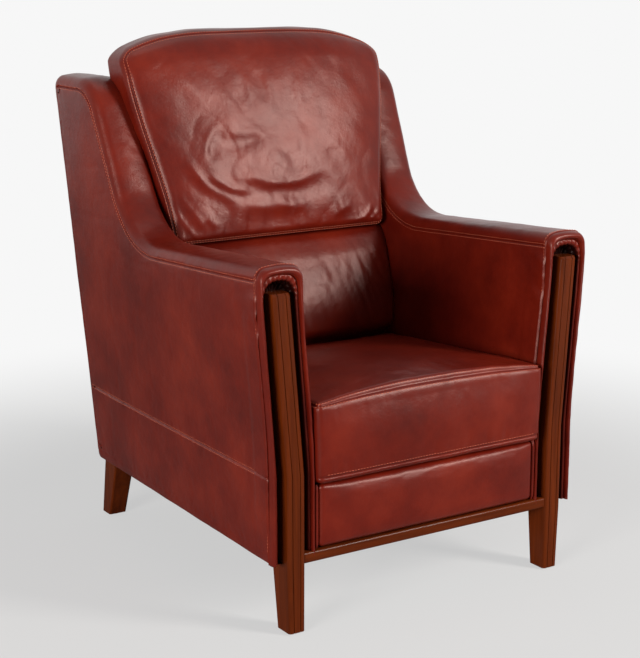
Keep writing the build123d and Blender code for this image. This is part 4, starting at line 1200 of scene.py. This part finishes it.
def head_shape(p, n):
    u, v, w = (p / HEAD_SIZE).T
    front_n = np.maximum(-n[:, 1], 0)
    high = (w + 1) / 2
    top = HEAD_TOP_Z - 0.040 * np.abs(u) ** 4.2
    z = HEAD_FOOT_Z + high * (top - HEAD_FOOT_Z)
    above = z - HEAD_FOOT_Z
    half = HEAD_HALF + 0.052 * smooth(above / 0.36) - 0.014 * smooth((z - 0.960) / 0.05)
    shoulder = 1 - np.sqrt(np.clip(1 - np.clip((high - 0.86) / 0.14, 0, 1) ** 2, 0, 1))
    rear = rest_y(z) - 0.001 - 0.012 * shoulder
    front = HEAD_FRONT_Y + HEAD_LEAN * above + 0.030 * shoulder
    y = front + (v + 1) / 2 * (rear - front)
    y = y - front_n * HEAD_BULGE * (1 - np.abs(w) ** 3) * (1 - np.abs(u) ** 4)
    base = xyz(u * half, y, z)
    base -= n * seam_dent(n, HEAD_R, 1, -1, HEAD_SEAM)[:, None]
    base += head_folds(base, n, u, w, front_n)
    base[:, 0] = wing_limit(base[:, 0], base[:, 1], base[:, 2])
    return base


seat_cushion()
cushion("lumbar_leather", "chair", lumbar_shape, LUMBAR_SIZE, LUMBAR_R, LUMBAR_NET,
        ("lumbar_cover", "lumbar_foam"))
cushion("headrest_leather", "chair", head_shape, HEAD_SIZE, HEAD_R, HEAD_NET,
        ("headrest_cover", "headrest_foam"), [(1, -1)])


# Front panel, deck and hidden pads

PANEL_SIZE = np.array([0.2405, 0.015, 0.058])
PANEL_R, PANEL_CROWN = 0.009, 0.009
PANEL_Y, PANEL_Z = -0.384, 0.2078
WELT_X, WELT_Y, WELT_R = 0.2446, -0.3915, 0.0040
WELT_FOOT_Z, WELT_TOP_Z = 0.149, 0.266
WELT_SIDES, WELT_RINGS = 12, 40
DECK_SIZE = np.array([0.225, 0.262, 0.01])
DECK_FRONT_Y, DECK_DEPTH = -0.366, 0.526
DECK_Z, DECK_FALL = 0.2585, 0.0262
SUPPORT_SIZE = np.array([0.24, 0.003, 0.24])
SUPPORT_Z, SUPPORT_BACK = 0.57, 0.004


def welt(side):
    """The thin roll of leather down one end of the front panel."""
    turn = np.linspace(0, 2 * np.pi, WELT_SIDES + 1)[:-1]
    rings = []
    for z in np.linspace(WELT_FOOT_Z, WELT_TOP_Z, WELT_RINGS):
        from_middle = abs((z - WELT_FOOT_Z) / (WELT_TOP_Z - WELT_FOOT_Z) * 2 - 1)
        r = WELT_R * np.sqrt(1 - min(from_middle, 0.97) ** 12)
        rings.append(xyz(side * WELT_X + r * np.cos(turn), WELT_Y + 1.5 * r * np.sin(turn), z))
    return np.concatenate(rings), grid_quads(WELT_RINGS, WELT_SIDES, True)


def front_panel():
    p, n, faces = soft_box((120, 10, 44), PANEL_SIZE, PANEL_R)
    u, _, w = (p / PANEL_SIZE).T
    front_n = np.maximum(-n[:, 1], 0)
    base = p + np.array([0.0, PANEL_Y, PANEL_Z])
    base[:, 1] -= front_n * PANEL_CROWN * (1 - w ** 4) * (1 - u ** 6)
    wide = base * np.array([0.5, 0.0, 1.4])
    pucker = 0.0006 * noise3(wide, 0.012, 5) * bump(w - 0.8, 0.4)
    base[:, 1] -= front_n * (0.0010 * noise3(base, 0.08, 4) + pucker)
    mesh = joined((base, faces), welt(-1), welt(1))
    obj = piece("front_panel_cover", mesh, ["front_panel_leather", "front_panel_padding"])


def cloth_piece(name, mesh, cad_node):
    piece(name, mesh, [cad_node], mat=LINING)


def deck():
    p, _, faces = soft_box((60, 60, 8), DECK_SIZE, 0.004)
    back = (p[:, 1] / DECK_SIZE[1] + 1) / 2
    x = p[:, 0] * (1 - 0.05 * back)
    y = DECK_FRONT_Y + back * DECK_DEPTH
    z = DECK_Z - DECK_FALL * back + p[:, 2] * 0.6
    cloth_piece("seat_deck_cover", (xyz(x, y, z), faces), "seat_deck_pad")


def support():
    p, _, faces = soft_box((50, 4, 50), SUPPORT_SIZE, 0.001)
    x = p[:, 0] * (0.97 + 0.1 * p[:, 2])
    z = SUPPORT_Z + p[:, 2]
    y = rest_y(z) + SUPPORT_BACK + p[:, 1]
    cloth_piece("back_support_felt", (xyz(x, y, z), faces), "back_support_pad")


front_panel()
deck()
support()


# Floor, light and camera

WHITE = (1.0, 1.0, 1.0, 1.0)
BACKDROP, WORLD_LIGHT = 0.93, 0.13
FLOOR_REACH, FLOOR_GREY = 40.0, 0.46
LAMP_COLOR = (1.0, 0.965, 0.92)
LENS, SENSOR, SHIFT_X, SHIFT_Y = 88.61, 36.0, 0.0061, -0.0016
CAMERA_PLACE = (-1.6969, -2.6556, 1.1611)
YAW, PITCH, CAMERA_ROLL = np.radians((-32.70, -12.885, 0.127))

# How the floor turns into the backdrop: for which rays, from and to which distance from the
# chair, and the backdrop's share beside the chair
FLOOR_GLOW = ((("Is Camera Ray",), 0.7, 1.9, 0.58),
              (("Is Glossy Ray", "Is Transmission Ray"), 4.0, 8.0, 0.0))
BACKDROP_RAYS = ("Is Camera Ray", "Is Glossy Ray", "Is Transmission Ray")


def blend_math(tree, kind, first, second):
    made = tree.nodes.new("ShaderNodeMath")
    made.operation = kind
    tree.links.new(first, made.inputs[0])
    tree.links.new(second, made.inputs[1])
    return made.outputs[0]


def shown_rays(tree, names):
    """1 for rays of the named kinds, which see the pale backdrop."""
    path = tree.nodes.new("ShaderNodeLightPath")
    total = path.outputs[names[0]]
    for name in names[1:]:
        total = blend_math(tree, "MAXIMUM", total, path.outputs[name])
    return total


def mix_surface(tree, share, first, second, out):
    """Mixes two shaders by a share and gives the result to the tree's output."""
    mix = tree.nodes.new("ShaderNodeMixShader")
    for socket, source in zip(mix.inputs, (share, first, second)):
        tree.links.new(source, socket)
    tree.links.new(mix.outputs[0], tree.nodes[out].inputs["Surface"])


def floor_material():
    mat, tree, bsdf = principled("floor", (FLOOR_GREY,) * 3, 0.9, Specular_IOR_Level=0.1)
    link = tree.links.new
    length = tree.nodes.new("ShaderNodeVectorMath")
    length.operation = "LENGTH"
    link(object_place(tree), length.inputs[0])
    shares = []
    for rays, start, end, least in FLOOR_GLOW:
        far = node(tree, "ShaderNodeMapRange", From_Min=start, From_Max=end, To_Min=least)
        far.interpolation_type = "SMOOTHSTEP"
        link(length.outputs["Value"], far.inputs["Value"])
        shares.append(blend_math(tree, "MULTIPLY", far.outputs["Result"], shown_rays(tree, rays)))
    share = blend_math(tree, "MAXIMUM", *shares)
    glow = node(tree, "ShaderNodeEmission", Color=WHITE, Strength=BACKDROP)
    mix_surface(tree, share, bsdf.outputs[0], glow.outputs[0], "Material Output")
    return mat


def floor():
    r = FLOOR_REACH
    mesh = bpy.data.meshes.new("floor")
    mesh.from_pydata([(-r, -r, 0), (r, -r, 0), (r, r, 0), (-r, r, 0)], [], [(0, 1, 2, 3)])
    mesh.materials.append(floor_material())
    new_object("floor", mesh)


def backdrop():
    world = bpy.data.worlds.new("studio")
    bpy.context.scene.world = world
    world.use_nodes = True
    tree = world.node_tree
    light = tree.nodes["Background"]
    light.inputs["Color"].default_value = WHITE
    light.inputs["Strength"].default_value = WORLD_LIGHT
    seen = node(tree, "ShaderNodeBackground", Color=WHITE, Strength=BACKDROP)
    share = shown_rays(tree, BACKDROP_RAYS)
    mix_surface(tree, share, light.outputs[0], seen.outputs[0], "World Output")


def lamp(name, place, target, size, power):
    data = bpy.data.lights.new(name, "AREA")
    data.shape = "RECTANGLE"
    data.size, data.size_y = size
    data.energy = power
    data.color = LAMP_COLOR
    obj = new_object(name, data)
    obj.location = place
    obj.rotation_mode = "QUATERNION"
    obj.rotation_quaternion = (Vector(target) - Vector(place)).to_track_quat("-Z", "Y")


def camera():
    data = bpy.data.cameras.new("camera")
    data.lens = LENS
    data.sensor_width = SENSOR
    data.sensor_fit = "AUTO"
    data.shift_x, data.shift_y = SHIFT_X, SHIFT_Y
    obj = new_object("camera", data)
    level = np.cos(PITCH)
    forward = Vector((-np.sin(YAW) * level, np.cos(YAW) * level, np.sin(PITCH)))
    obj.location = CAMERA_PLACE
    obj.rotation_mode = "QUATERNION"
    obj.rotation_quaternion = Quaternion(forward, CAMERA_ROLL) @ forward.to_track_quat("-Z", "Y")
    bpy.context.scene.camera = obj


floor()
backdrop()
lamp("left", (-4.4, -2.1, 1.25), (0, 0, 0.5), (1.8, 1.3), 212)
lamp("front", (2.55, -3.9, 2.45), (0, 0, 0.6), (1.1, 2.1), 252)
lamp("top", (0.4, 0.9, 4.6), (0, 0, 0.5), (1.8, 1.2), 7)
camera()

bpy.context.scene.view_settings.view_transform = "Standard"
